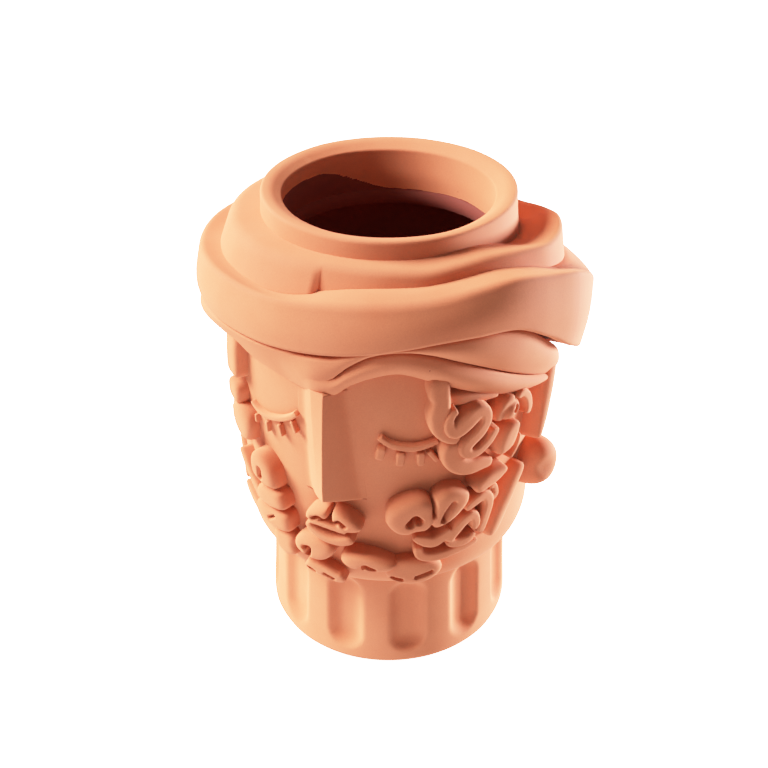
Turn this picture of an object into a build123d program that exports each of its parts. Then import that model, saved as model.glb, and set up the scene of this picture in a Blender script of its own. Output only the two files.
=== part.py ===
from build123d import *
import math
import os
from typing import NamedTuple

# Face vase: a fluted neck carries a round head with a wound turban, whose collar is the mouth.
# Millimetres. The foot's middle is the origin, +Z is up and the face looks towards -Y.
# Angles are in degrees round the head from the nose, positive towards the figure's left (+X).
# Heights on the head are in percent of HEAD_HEIGHT above the joint of neck and jaw.

# Driving dimensions
NECK_HEIGHT = 80.0
HEAD_HEIGHT = 250.0
FOOT_RADIUS = 88.0
NECK_TOP_RADIUS = 84.5
JAW_RADIUS = 99.5
HEAD_RADIUS = 105.0
COLLAR_RADIUS = 80.3
MOUTH_RADIUS = 67.5
WALL = 11.0
FLOOR_THICKNESS = 12.0
FOOT_ROUND = 3.0

# Clearance that the film of slip fills between two luted pieces
SLIP = 0.2

# Neck flutes
FLUTE_COUNT = 12
FLUTE_WIDTH = 28.0
FLUTE_DEPTH = 5.5
FLUTE_FOOT_MARGIN = 9.0
FLUTE_TOP_MARGIN = 4.0
FLUTE_TURN = -2.0

# Head levels, in percent
JAW_LEVEL = 9.0
WIDEST_LEVEL = 62.0
CROWN_LEVEL = 88.0

# Collar
COLLAR_FLARE = 3.7
COLLAR_THROAT = 13.0
LIP_DROP = 5.0
LIP_ROUND = 2.5

# Turban
WRAP_STEP = 12.0
FOLD_STEP = 8.0
WRAP_ROUND = 5.0
RIDGE_ROUND = 3.5
FRONT_SEAM = -6.0
BACK_SEAM = FRONT_SEAM + 180.0
FULL_WRAP = 359.8
SHELF_INSET = 13.0
TUCK = 14.0

# Clay ribbons of hair and beard
RIBBON_WIDTH = 12.0
RIBBON_RELIEF = 11.0
RIBBON_ROOT = 10.0
EDGE_ROUND = 4.0
SHOULDER_SHARE = 0.38
PAT_ROUND = 9.0
PAT_SHARE = 0.4
PRESS_WIDTH = 4.0
LEFT, RIGHT = 1, -1

# Face
NOSE_TOP, NOSE_TIP = 66.5, 36.8
NOSE_TOP_RISE, NOSE_TIP_RISE = 13.0, 25.0
NOSE_TOP_HALF, NOSE_TIP_HALF = 13.0, 20.0
NOSE_RIDGE_HALF = 4.0
EYE_ANGLE = 25.0
EYE_LEVEL = 53.0
LID_SPAN = 35.0
LID_SAG = 7.0
LID_SLANT = 8.0
LID_WIDTH = 4.0
LID_RELIEF = 3.5
LASH_WIDTH = 3.2
LASH_LENGTH = 8.5
LASH_RELIEF = 3.5
EAR_ANGLE = 83.0
EAR_LEVEL = 28.0
EAR_RELIEF = 20.0

TOTAL_HEIGHT = NECK_HEIGHT + HEAD_HEIGHT
CROWN_RADIUS = COLLAR_RADIUS + COLLAR_FLARE
INNER_NECK_RADIUS = NECK_TOP_RADIUS - WALL


def level(percent):
    """Height above the floor of a level on the head."""
    return NECK_HEIGHT + HEAD_HEIGHT * percent / 100


def head_radius(z):
    """Outer radius of the head at a height: jaw ellipse, swelling cheek, crown ellipse."""
    jaw, widest, crown = level(JAW_LEVEL), level(WIDEST_LEVEL), level(CROWN_LEVEL)
    if z < jaw:
        share = max(0.0, (z - NECK_HEIGHT) / (jaw - NECK_HEIGHT))
        return NECK_TOP_RADIUS + (JAW_RADIUS - NECK_TOP_RADIUS) * math.sqrt(1 - (1 - share) ** 2)
    if z < widest:
        share = (z - jaw) / (widest - jaw)
        return JAW_RADIUS + (HEAD_RADIUS - JAW_RADIUS) * share * share * (3 - 2 * share)
    share = min(1.0, (z - widest) / (crown - widest))
    return CROWN_RADIUS + (HEAD_RADIUS - CROWN_RADIUS) * math.sqrt(1 - share ** 2)


def radial_plane(angle):
    """Upright plane through the axis: local x is the radius and local y the height."""
    turn = math.radians(angle)
    return Plane((0, 0, 0), x_dir=(math.sin(turn), -math.cos(turn), 0),
                 z_dir=(-math.cos(turn), -math.sin(turn), 0))


def head_side(grow, base):
    """Half profile of the head's outside, grown outwards, from the jaw to the crown."""
    jaw, widest, crown = level(JAW_LEVEL), level(WIDEST_LEVEL), level(CROWN_LEVEL)
    third = (widest - jaw) / 3
    under = EllipticalCenterArc((base, jaw), JAW_RADIUS + grow - base, jaw - NECK_HEIGHT + grow,
                                start_angle=-90, arc_size=90)
    cheek = Bezier((JAW_RADIUS + grow, jaw), (JAW_RADIUS + grow, jaw + third),
                   (HEAD_RADIUS + grow, widest - third), (HEAD_RADIUS + grow, widest))
    top = EllipticalCenterArc((CROWN_RADIUS, widest), HEAD_RADIUS + grow - CROWN_RADIUS,
                              crown - widest + grow, start_angle=0, arc_size=90)
    return Curve() + [under, cheek, top]


def turned(side, *corners):
    """Solid of revolution under a half profile that is closed by the given corners."""
    ends = [side @ 1, *corners, side @ 0]
    return revolve(Plane.XZ * make_face(Curve() + [side, Polyline(*ends)]), Axis.Z)


def neck_drum():
    """Fluted column foot with its floor."""
    side = Polyline((0, 0), (FOOT_RADIUS - FOOT_ROUND, 0), (FOOT_RADIUS, FOOT_ROUND),
                    (NECK_TOP_RADIUS, NECK_HEIGHT), (INNER_NECK_RADIUS, NECK_HEIGHT),
                    (INNER_NECK_RADIUS, FLOOR_THICKNESS), (0, FLOOR_THICKNESS), close=True)
    drum = revolve(Plane.XZ * make_face(side), Axis.Z)
    half = FLUTE_WIDTH / 2
    depth = FLUTE_DEPTH - half ** 2 / (2 * FOOT_RADIUS)
    cutter_radius = (half ** 2 + depth ** 2) / (2 * depth)
    low = FLUTE_FOOT_MARGIN + half
    high = NECK_HEIGHT - FLUTE_TOP_MARGIN - half
    rod = Pos(0, 0, (low + high) / 2) * Cylinder(cutter_radius, high - low)
    capsule = rod + Pos(0, 0, low) * Sphere(cutter_radius) + Pos(0, 0, high) * Sphere(cutter_radius)
    reach = FOOT_RADIUS + cutter_radius - FLUTE_DEPTH
    for index in range(FLUTE_COUNT):
        drum -= Rot(0, 0, FLUTE_TURN + index * 360 / FLUTE_COUNT) * Pos(0, -reach, 0) * capsule
    return drum


def head_shell():
    """Hollow head between the neck and the collar."""
    outside = turned(head_side(0, NECK_TOP_RADIUS), (0, level(CROWN_LEVEL)), (0, NECK_HEIGHT))
    hollow = turned(head_side(-WALL, INNER_NECK_RADIUS), (0, level(CROWN_LEVEL) - WALL),
                    (0, NECK_HEIGHT + WALL))
    throat_radius = CROWN_RADIUS - COLLAR_THROAT
    throat = Pos(0, 0, level(CROWN_LEVEL)) * Cylinder(throat_radius, 4 * WALL)
    well = Pos(0, 0, NECK_HEIGHT) * Cylinder(INNER_NECK_RADIUS, 4 * WALL)
    return outside - hollow - throat - well


def head_seat():
    """Head grown by the slip film, for seating what is luted onto it."""
    return turned(head_side(SLIP, NECK_TOP_RADIUS), (0, level(CROWN_LEVEL)), (0, NECK_HEIGHT - SLIP))


def collar_side(grow):
    """Outer wall of the collar, from the crown up to the lip."""
    return Polyline((CROWN_RADIUS + grow, level(CROWN_LEVEL)),
                    (COLLAR_RADIUS + grow, level(CROWN_LEVEL) + COLLAR_THROAT),
                    (COLLAR_RADIUS + grow, TOTAL_HEIGHT))


def rim_collar():
    """Mouth ring with a lip that slopes inwards and a throat that flares into the head."""
    throat_radius = CROWN_RADIUS - COLLAR_THROAT
    side = Curve() + [collar_side(0),
                      Polyline((COLLAR_RADIUS, TOTAL_HEIGHT), (COLLAR_RADIUS - 2 * LIP_ROUND, TOTAL_HEIGHT),
                               (MOUTH_RADIUS, TOTAL_HEIGHT - LIP_DROP),
                               (MOUTH_RADIUS, level(CROWN_LEVEL) + COLLAR_THROAT / 2),
                               (throat_radius, level(CROWN_LEVEL)), (CROWN_RADIUS, level(CROWN_LEVEL)))]
    ring = make_face(side)
    lips = nearest(ring, (COLLAR_RADIUS, TOTAL_HEIGHT), (MOUTH_RADIUS, TOTAL_HEIGHT - LIP_DROP))
    return revolve(Plane.XZ * fillet(lips, LIP_ROUND), Axis.Z)


class Station(NamedTuple):
    """Outline of the turban at one angle, each point as (rise over HEAD_RADIUS, level)."""

    angle: float
    hem: tuple
    belly: tuple
    edge: tuple
    ledge: tuple
    shelf: float


class Fold(NamedTuple):
    """Outline of a fold under the main wrap: hem, belly and top, as in Station."""

    angle: float
    hem: tuple
    belly: tuple
    top: tuple


class Upper(NamedTuple):
    """Outline of the upper wrap: rise of its foot, its ridge, and the gully beside the collar."""

    angle: float
    foot: float
    ridge: tuple
    gully: float


# The main wrap sits high over the brow and sinks towards the figure's left ear and the back
MAIN_STATIONS = [
    Station(-90, (17, 67.2), (22.5, 73.6), (16.5, 86.0), (4.5, 86.8), 87.2),
    Station(-71, (16, 70.8), (21.5, 76.0), (15.5, 86.6), (4, 87.6), 88.0),
    Station(-43, (14, 74.4), (17.5, 80.4), (13.5, 88.8), (3, 89.2), 89.2),
    Station(-18, (11.5, 75.6), (14, 82.0), (11, 89.4), (2, 89.0), 89.2),
    Station(7, (12, 78.0), (12.5, 84.0), (8, 90.8), (-2, 91.4), 91.0),
    Station(32, (14, 81.4), (14, 86.4), (8, 91.8), (-1.5, 92.4), 91.4),
    Station(45, (15, 81.6), (16, 87.2), (9.5, 93.4), (0, 93.2), 92.2),
    Station(57, (17.5, 80.8), (19, 86.8), (13.5, 94.0), (2.5, 93.6), 92.8),
    Station(69, (20.5, 75.2), (23, 84.0), (19, 92.0), (5, 92.0), 91.2),
    Station(81, (25, 66.8), (29, 78.4), (25.5, 89.2), (7, 88.4), 88.0),
    Station(109, (25, 52.8), (29.5, 64.0), (28, 76.0), (7.5, 82.8), 83.2),
    Station(140, (22, 50.4), (27, 62.4), (25, 73.6), (8, 78.8), 80.0),
    Station(170, (19, 49.6), (24.5, 62.4), (22, 74.4), (7, 80.0), 81.2),
    Station(210, (17, 52.0), (23, 65.6), (19, 79.2), (5, 83.6), 84.4),
    Station(245, (17, 59.2), (22.5, 68.8), (18, 84.0), (5.5, 86.0), 86.4),
]

# The upper wrap starts thin at the seam, runs round the left and ends broad at the seam
UPPER_STATIONS = [
    Upper(-6, -10.5, (-14, 95.4), 96.0),
    Upper(7, -10.5, (-14, 95.4), 96.0),
    Upper(20, -10, (-13, 95.4), 96.0),
    Upper(32, -8.5, (-10.5, 95.2), 96.0),
    Upper(45, -7, (-9.5, 96.0), 96.2),
    Upper(57, -4, (-7, 96.4), 96.2),
    Upper(69, 1, (-2.5, 95.8), 94.4),
    Upper(81, 6, (3, 94.6), 91.6),
    Upper(109, 7, (3.5, 92.4), 88.8),
    Upper(125, 7.5, (3, 89.2), 86.8),
    Upper(145, 7.5, (2, 85.8), 84.6),
    Upper(175, 6.5, (1, 86.0), 84.8),
    Upper(210, 4.5, (-2, 90.0), 89.6),
    Upper(245, 4, (-4.5, 93.2), 93.4),
    Upper(289, 2.5, (-5.5, 94.6), 95.0),
    Upper(317, 1.5, (-7, 94.8), 95.4),
    Upper(333, 1, (-9, 95.0), 95.6),
    Upper(345, 0.5, (-11.5, 95.2), 95.8),
    Upper(354, 0, (-13.5, 95.4), 96.0),
]

# The brow roll lies flat over the right brow, dips to the nose, arches over the left eye and sinks to the ear
BROW_STATIONS = [
    Fold(-97, (3, 62.4), (13, 65.6), (16, 68.8)),
    Fold(-71, (3, 66.4), (12, 69.0), (16, 71.6)),
    Fold(-43, (1.5, 67.6), (7.5, 71.2), (12.5, 74.4)),
    Fold(-18, (1, 66.0), (6.5, 70.8), (10.5, 75.4)),
    Fold(-4, (5, 64.0), (9.5, 69.6), (10.5, 75.8)),
    Fold(2, (5, 65.2), (10, 68.4), (8.5, 71.0)),
    Fold(7, (5, 68.4), (11, 71.6), (8.5, 74.2)),
    Fold(14, (5.5, 71.2), (11.5, 74.8), (8.5, 77.8)),
    Fold(22, (5.5, 72.4), (11.5, 75.8), (8.5, 79.0)),
    Fold(31, (5.5, 70.0), (12, 74.0), (8.5, 77.6)),
    Fold(41, (5.5, 66.2), (12, 70.4), (8.5, 74.2)),
    Fold(52, (5, 62.2), (12, 66.4), (8.5, 69.8)),
    Fold(62, (5, 59.2), (12, 62.6), (8.5, 65.4)),
    Fold(73, (4.5, 56.6), (12, 59.2), (8.5, 61.2)),
    Fold(87, (4, 53.6), (11, 55.6), (8.5, 57.2)),
]

# The side fold opens between the brow roll and the main wrap, from the nose to the left temple
SIDE_STATIONS = [
    Fold(-4, (7, 72.8), (9.5, 74.4), (10, 75.8)),
    Fold(2, (8.5, 71.2), (11, 74.0), (11, 76.8)),
    Fold(7, (8.5, 74.4), (11.5, 76.4), (11, 78.2)),
    Fold(14, (8.5, 78.0), (11.5, 79.0), (10.5, 79.8)),
    Fold(22, (8.5, 79.2), (12, 80.0), (11, 80.6)),
    Fold(31, (8.5, 77.8), (13.5, 79.8), (12, 81.4)),
    Fold(41, (8.5, 74.4), (15, 78.4), (12.5, 81.6)),
    Fold(52, (8.5, 70.0), (16, 75.6), (13.5, 81.2)),
    Fold(62, (8.5, 65.6), (16.5, 72.4), (14.5, 78.8)),
    Fold(72, (8.5, 61.4), (16, 67.6), (14.5, 72.8)),
    Fold(82, (8.5, 57.6), (14.5, 62.0), (13, 66.4)),
    Fold(93, (8, 54.0), (10.5, 56.4), (10, 58.4)),
]


def flat(station):
    """All numbers of a station in one row."""
    row = []
    for value in station:
        row.extend(value if isinstance(value, tuple) else [value])
    return row


def between(stations, angle, period=None):
    """Smooth row of numbers at an angle, on a cubic through the neighbouring stations."""
    rows = [flat(station) for station in stations]
    if period:
        before = [[row[0] - period, *row[1:]] for row in rows]
        after = [[row[0] + period, *row[1:]] for row in rows]
        rows = before + rows + after
    index = 0
    while index < len(rows) - 2 and rows[index + 1][0] < angle:
        index += 1
    start, end = rows[index], rows[index + 1]
    span = end[0] - start[0]
    share = (angle - start[0]) / span
    result = [angle]
    for column in range(1, len(start)):
        slopes = []
        for middle in (index, index + 1):
            left, right = rows[max(middle - 1, 0)], rows[min(middle + 1, len(rows) - 1)]
            slopes.append((right[column] - left[column]) / (right[0] - left[0]) * span)
        rise = end[column] - start[column]
        result.append(start[column] + slopes[0] * share + (3 * rise - 2 * slopes[0] - slopes[1]) * share ** 2
                      + (slopes[0] + slopes[1] - 2 * rise) * share ** 3)
    return result


def point(rise, percent):
    """Point of a turban outline in the radial plane."""
    return (HEAD_RADIUS + rise, level(percent))


def angles(first, last, step):
    """Evenly spaced angles between two, about a step apart."""
    count = round((last - first) / step)
    return [first + (last - first) * index / count for index in range(count + 1)]


def main_section(angle):
    """Cut through the main wrap, down to inside the head's wall."""
    row = between(MAIN_STATIONS, angle, 360)
    hem, belly, edge, ledge = (point(*row[column:column + 2]) for column in (1, 3, 5, 7))
    inner = HEAD_RADIUS - SHELF_INSET
    shelf = (inner, level(row[9]))
    root = (inner - TUCK, level(row[9]) - WALL)
    base = (inner, hem[1])
    face = make_face(Curve() + [Polyline(edge, ledge, shelf, root, base, hem), ThreePointArc(hem, belly, edge)])
    rounded = fillet(nearest(face, hem, edge), WRAP_ROUND)
    return radial_plane(angle) * rounded


def main_top(angle, rise):
    """Height of the main wrap's upper side: from the shelf over the ledge to the edge."""
    row = between(MAIN_STATIONS, angle, 360)
    edge_rise, edge_level, ledge_rise, ledge_level, shelf_level = row[5:10]
    if rise < ledge_rise:
        share = (rise + SHELF_INSET) / (ledge_rise + SHELF_INSET)
        return level(shelf_level + (ledge_level - shelf_level) * share)
    share = (rise - ledge_rise) / (edge_rise - ledge_rise)
    return level(ledge_level + (edge_level - ledge_level) * share)


def upper_section(angle):
    """Cut through the upper wrap, from the ledge of the main wrap to the collar."""
    row = between(UPPER_STATIONS, angle)
    foot = (HEAD_RADIUS + row[1], main_top(angle, row[1]) + SLIP)
    ridge = point(*row[2:4])
    inner = HEAD_RADIUS - SHELF_INSET
    gully = (inner - TUCK, level(row[4]))
    shelf = (inner, main_top(angle, -SHELF_INSET) + SLIP)
    root = (inner - TUCK, shelf[1] - WALL)
    face = make_face(Polyline(foot, ridge, gully, root, shelf, close=True))
    return radial_plane(angle) * fillet(nearest(face, ridge), RIDGE_ROUND)


def fold_section(stations, angle):
    """Cut through a fold under the main wrap."""
    row = between(stations, angle)
    hem, belly, top = (point(*row[column:column + 2]) for column in (1, 3, 5))
    inner = HEAD_RADIUS - SHELF_INSET
    outline = [Polyline(top, (inner, top[1]), (inner, hem[1]), hem), ThreePointArc(hem, belly, top)]
    return radial_plane(angle) * make_face(Curve() + outline)


def nearest(face, *places):
    """Corners of a flat face that lie nearest to the given places."""
    return [face.vertices().sort_by_distance((*place, 0))[0] for place in places]


def wrap(section, first, last, step=WRAP_STEP):
    """Strip of clay lofted round the head through its cuts."""
    return loft([section(angle) for angle in angles(first, last, step)])


def fold(stations):
    """Fold under the main wrap, from its first station to its last."""
    strip = wrap(lambda angle: fold_section(stations, angle), stations[0].angle, stations[-1].angle, FOLD_STEP)
    return strip - SEAT


def loaf(width, relief, shoulder):
    """Half cut through a clay ribbon: flat root in the wall, rounded shoulder on top."""
    half = make_face(Polyline((0, -RIBBON_ROOT), (width / 2, -RIBBON_ROOT), (width / 2, relief), (0, relief),
                              close=True))
    return Plane.XZ * fillet(nearest(half, (width / 2, relief)), shoulder)


def head_spot(angle, percent):
    """Plane on the head's skin: local x runs to the figure's left, y up and z outwards."""
    turn = math.radians(angle)
    out = Vector(math.sin(turn), -math.cos(turn), 0)
    z = level(percent)
    return Plane(out * head_radius(z) + Vector(0, 0, z), x_dir=(math.cos(turn), math.sin(turn), 0), z_dir=out)


class Run(NamedTuple):
    """Straight stretch of a ribbon."""

    length: float


class Bend(NamedTuple):
    """Bent stretch of a ribbon, to the left where the turn is positive."""

    radius: float
    turn: float


def ribbon(start, heading, moves, width=RIBBON_WIDTH, relief=RIBBON_RELIEF, shoulder=None):
    """Clay ribbon with round ends, laid from a start point along runs and bends in a flat plane."""
    half = loaf(width, relief, shoulder or min(EDGE_ROUND, SHOULDER_SHARE * width))
    whole = half + mirror(half, Plane.YZ)
    pose = Pos(*start) * Rot(0, 0, heading - 90)
    knob = revolve(half, Axis.Z)
    body = pose * knob
    for move in moves:
        if isinstance(move, Run):
            body += pose * extrude(whole, move.length, dir=(0, 1, 0))
            pose = pose * Pos(0, move.length, 0)
        else:
            side = math.copysign(move.radius, move.turn)
            spin = Axis((-side, 0, 0), (0, 0, math.copysign(1, move.turn)))
            body += pose * revolve(whole, spin, abs(move.turn))
            pose = pose * Pos(-side, 0, 0) * Rot(0, 0, move.turn) * Pos(side, 0, 0)
    return body + pose * knob


def petal(top_radius, bottom_radius, height, tilt, width=RIBBON_WIDTH, relief=RIBBON_RELIEF):
    """Closed loop of ribbon, round at both ends, with a drop-shaped hole."""
    lean = math.degrees(math.asin((top_radius - bottom_radius) / height))
    flank = math.sqrt(height ** 2 - (top_radius - bottom_radius) ** 2)
    start = (bottom_radius * math.cos(math.radians(lean)),
             -height / 2 - bottom_radius * math.sin(math.radians(lean)))
    moves = [Run(flank), Bend(top_radius, 180 + 2 * lean), Run(flank), Bend(bottom_radius, 180 - 2 * lean)]
    return Rot(0, 0, tilt) * ribbon(start, 90 - lean, moves, width, relief)


def route(corners, bend, width=RIBBON_WIDTH, relief=RIBBON_RELIEF):
    """Clay ribbon along straight legs between corners, with a bend of one radius at each corner."""
    legs = [(end[0] - start[0], end[1] - start[1]) for start, end in zip(corners, corners[1:])]
    headings = [math.degrees(math.atan2(up, across)) for across, up in legs]
    moves = []
    used = 0.0
    for index, leg in enumerate(legs):
        turn = 0.0
        if index + 1 < len(legs):
            turn = (headings[index + 1] - headings[index] + 180) % 360 - 180
        take = bend * math.tan(math.radians(abs(turn) / 2))
        moves.append(Run(math.hypot(*leg) - used - take))
        if turn:
            moves.append(Bend(bend, turn))
        used = take
    return ribbon(corners[0], headings[0], moves, width, relief)


def pat(width, length, relief, tilt=0.0):
    """Domed pat of clay, as long as the given run plus its width."""
    shoulder = min(PAT_ROUND, PAT_SHARE * width)
    return Rot(0, 0, tilt) * ribbon((0, length / 2), -90, [Run(length)], width, relief, shoulder)


def press(start, end):
    """Slot that a tool leaves between two points of a pat."""
    return route([start, end], 1.0, PRESS_WIDTH, 3 * RIBBON_RELIEF)


def seat_on_head(piece, angle, percent, side=LEFT):
    """Piece set at a spot on the head, mirrored for the right side, and cut by the head's skin."""
    placed = head_spot(angle, percent).location * piece
    if side == RIGHT:
        placed = mirror(placed, Plane.YZ)
    return placed - SEAT


def nose():
    """Wedge with a narrow front, broad and proud at its flat underside."""
    cuts = []
    ends = ((NOSE_TIP, NOSE_TIP_RISE, NOSE_TIP_HALF), (NOSE_TOP, NOSE_TOP_RISE, NOSE_TOP_HALF))
    for percent, rise, half in ends:
        front = -head_radius(level(percent)) - rise
        back = -head_radius(level(percent)) + WALL / 2
        cut = Polyline((-half, back), (-NOSE_RIDGE_HALF, front), (NOSE_RIDGE_HALF, front), (half, back),
                       close=True)
        cuts.append(Plane.XY.offset(level(percent)) * make_face(cut))
    return loft(cuts, ruled=True) - SEAT


def eyelid(side):
    """Closed lid: a hanging arc, higher at the nose."""
    radius = (LID_SPAN ** 2 / 4 + LID_SAG ** 2) / (2 * LID_SAG)
    turn = 2 * math.degrees(math.asin(LID_SPAN / 2 / radius))
    start = (-LID_SPAN / 2, LID_SAG)
    lid = ribbon(start, -turn / 2 - LID_SLANT, [Bend(radius, turn)], LID_WIDTH, LID_RELIEF)
    return seat_on_head(lid, EYE_ANGLE, EYE_LEVEL, side)


def lashes(side):
    """Four short bars that hang from the lid."""
    bars = Part()
    for across, drop, lean in ((-15, -2, -3), (-5, -6, -2), (5.5, -7.5, 2), (13.5, -6.5, 30)):
        bars += ribbon((across, drop), -90 + lean, [Run(LASH_LENGTH)], LASH_WIDTH, LASH_RELIEF)
    return seat_on_head(bars, EYE_ANGLE, EYE_LEVEL, side)


def temple_lock(side):
    """Scalloped lock that hangs from the brow roll and turns back under the scroll."""
    lock = route([(-2, 22), (-1, 0), (1, -19), (16, -19), (21, -11)], 9)
    return seat_on_head(lock, 35, 62.8, side)


def scroll_curl(side):
    """Ribbon rolled into an S."""
    curl = ribbon((-8.4, 2.2), 145, [Bend(9.5, -285), Bend(9.5, 270)], 9.5, 12)
    return seat_on_head(curl, 45.6, 56, side)


def crescent_lock(side):
    """Lock that sweeps under the scroll towards the ear."""
    return seat_on_head(ribbon((-15, 10.5), -90, [Run(1.5), Bend(16, 80), Run(16)]), 44.6, 46.2, side)


def ear_knob(side, angle, percent, width, length):
    """Smooth round knob of hair before the ear."""
    return seat_on_head(ribbon((0, length / 2), -90, [Run(length)], width, 12, 7), angle, percent, side)


def side_strand(side):
    """Thin strand that arches down behind the knobs."""
    return seat_on_head(ribbon((-6, 8), -10, [Bend(10, -75), Run(8)], 7.5, 10), 64.2, 57.6, side)


def ear_lock(side):
    """Straight lock that hangs from the turban over the ear."""
    return seat_on_head(ribbon((2, 17), -96, [Run(36)], 15, 8), 81, 53.6, side)


def cheek_curl(side):
    """Two domed lobes side by side, each pressed with a slot, at the corner of the beard."""
    front = Pos(-13, -1) * pat(33, 2, 15) - press((-11, -7), (-8, -1))
    back = Pos(11.5, 1) * pat(22, 12, 14.5, -12) - press((8, -9), (13, 4))
    return seat_on_head(front + back, 31.8, 31.2, side)


def jaw_curl(side):
    """Upright arch with a crescent before it, below the lobes."""
    arch = ribbon((-3, -3), 62, [Run(9), Bend(5.5, -165), Run(11)], 8.5)
    crescent = ribbon((-28, 5), -40, [Bend(20, 95)], 9.5)
    return seat_on_head(arch + crescent, 42.4, 21.2, side)


def jaw_band(side):
    """Band that arches over the jaw curl."""
    return seat_on_head(ribbon((-4, 15), 30, [Run(11), Bend(11, -140), Run(10)], 8.5), 42.4, 21.2, side)


def side_lock(side):
    """Long flat lock that runs from the ear down to the jaw."""
    return seat_on_head(ribbon((12, 25), -116, [Run(52)], 17, 7.5), 64.7, 24.4, side)


def side_curl(side):
    """Short lock that points back to the ear, over the jaw band."""
    return seat_on_head(ribbon((-14, -1), 8, [Bend(60, -24)]), 53, 38.4, side)


def jaw_ribbon(side):
    """Long ribbon along the edge of the jaw, hooked up at its front."""
    return seat_on_head(route([(-22, 8), (-19, -2), (-8, -3), (12, 0), (21, 4)], 5, 8.5, 9.5), 39.8, 16, side)


def chin_ribbon(side):
    """Flat loop on the jaw's edge beside the chin."""
    return seat_on_head(petal(5.4, 5.2, 20, 90, 9.5, 9), 26.8, 8.8, side)


def ear(side):
    """Round ear that stands off the side of the head like a button."""
    return seat_on_head(pat(32, 14, EAR_RELIEF, 8), EAR_ANGLE, EAR_LEVEL, side)


def upper_lip():
    """Two small lobes that meet under the nose, on a narrow bar."""
    lobes = Pos(-8.5, 2) * pat(17.5, 6, 14) + Pos(8, 2) * pat(18.5, 5, 14)
    bar = ribbon((-14, -9), 0, [Run(27)], 5.5, 14)
    return seat_on_head(lobes + bar - press((-0.8, 12), (-0.8, 0)), 0, 29.6)


def lower_lip():
    """Hanging lip under the open mouth."""
    return seat_on_head(ribbon((-14, 5), -48, [Bend(19, 96)], 8, 12), 0, 21.2)


def middle_chin_curl():
    """Broad lobe in the middle of the chin, with a slot."""
    return seat_on_head(pat(21, 16, 14, 90) - press((-4, -2), (10, -3)), 10.9, 13.8)


def side_chin_curl():
    """Lobe at the right of the chin, with a slot."""
    return seat_on_head(pat(21, 8, 14, 78) - press((-5, 5), (-3.5, -1)), -8, 14.2)


def temple_bar(side, angle, percent, length):
    """Broad plain stretch of the lock at the right temple."""
    return seat_on_head(ribbon((0, length / 2), -92, [Run(length)], 20, 6), angle, percent, side)


def cheek_lobe(side):
    """Broad lobe between temple and beard."""
    return seat_on_head(ribbon((-8, 1), 4, [Run(18)], 20, 10), 42.5, 43.0, side)


def lay(pieces, additions):
    """Adds pieces in order, each cut by the ones already laid where their boxes meet."""
    for name, piece in additions.items():
        box = piece.bounding_box()
        for other in list(pieces.values()):
            if box.overlaps(other.bounding_box()):
                piece = piece - other
        pieces[name] = piece


SEAT = head_seat()


def main():
    """Builds every piece and writes it to its own file."""
    os.makedirs("parts", exist_ok=True)
    collar_foot = collar_side(SLIP)
    collar_seat = turned(collar_foot, (0, TOTAL_HEIGHT), (0, level(CROWN_LEVEL)))
    body = {
        "neck_drum": neck_drum(),
        "head_shell": head_shell(),
        "rim_collar": rim_collar(),
    }
    turban = {
        "turban_main_wrap": wrap(main_section, BACK_SEAM, BACK_SEAM + FULL_WRAP) - SEAT - collar_seat,
        "turban_upper_wrap": wrap(upper_section, FRONT_SEAM, FRONT_SEAM + FULL_WRAP) - SEAT - collar_seat,
    }
    lay(turban, {
        "turban_side_fold": fold(SIDE_STATIONS),
        "turban_brow_roll": fold(BROW_STATIONS),
    })
    features = {}
    lay(features, {
        "upper_lip": upper_lip(),
        "lower_lip": lower_lip(),
        "chin_curl_middle": middle_chin_curl(),
        "chin_curl_right": side_chin_curl(),
    })
    for side, word in ((LEFT, "left"), (RIGHT, "right")):
        lay(features, {
            f"eyelid_{word}": eyelid(side),
            f"eyelashes_{word}": lashes(side),
            f"cheek_curl_{word}": cheek_curl(side),
            f"jaw_curl_{word}": jaw_curl(side),
            f"jaw_band_{word}": jaw_band(side),
            f"jaw_ribbon_{word}": jaw_ribbon(side),
            f"chin_ribbon_{word}": chin_ribbon(side),
            f"side_curl_{word}": side_curl(side),
            f"side_lock_{word}": side_lock(side),
            f"ear_{word}": ear(side),
        })
    tucked = {
        "nose": nose(),
        "scroll_curl_left": scroll_curl(LEFT),
        "temple_lock_left": temple_lock(LEFT),
        "upper_knob_left": ear_knob(LEFT, 58.6, 58.4, 17, 2),
        "side_strand_left": side_strand(LEFT),
        "ear_lock_left": ear_lock(LEFT),
        "temple_lock_upper_right": temple_bar(RIGHT, 42.4, 63.2, 10),
    }
    folds = turban["turban_brow_roll"] + turban["turban_side_fold"]
    lay(features, {name: piece - folds for name, piece in tucked.items()})
    lay(features, {
        "crescent_lock_left": crescent_lock(LEFT),
        "lower_knob_left": ear_knob(LEFT, 60, 47, 21, 8),
        "temple_lock_lower_right": temple_bar(RIGHT, 44, 53.6, 12),
        "cheek_lobe_right": cheek_lobe(RIGHT),
    })
    for name, piece in {**body, **turban, **features}.items():
        export_step(piece, f"parts/{name}.step")


if __name__ == "__main__":
    main()
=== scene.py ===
"""Face vase in unglazed terracotta: a fluted neck, a bearded head and a wound turban."""

import logging
import math
from dataclasses import dataclass
from enum import Enum
from functools import partial
from typing import Any, Callable, Sequence

import bpy
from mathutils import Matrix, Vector, noise


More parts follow.
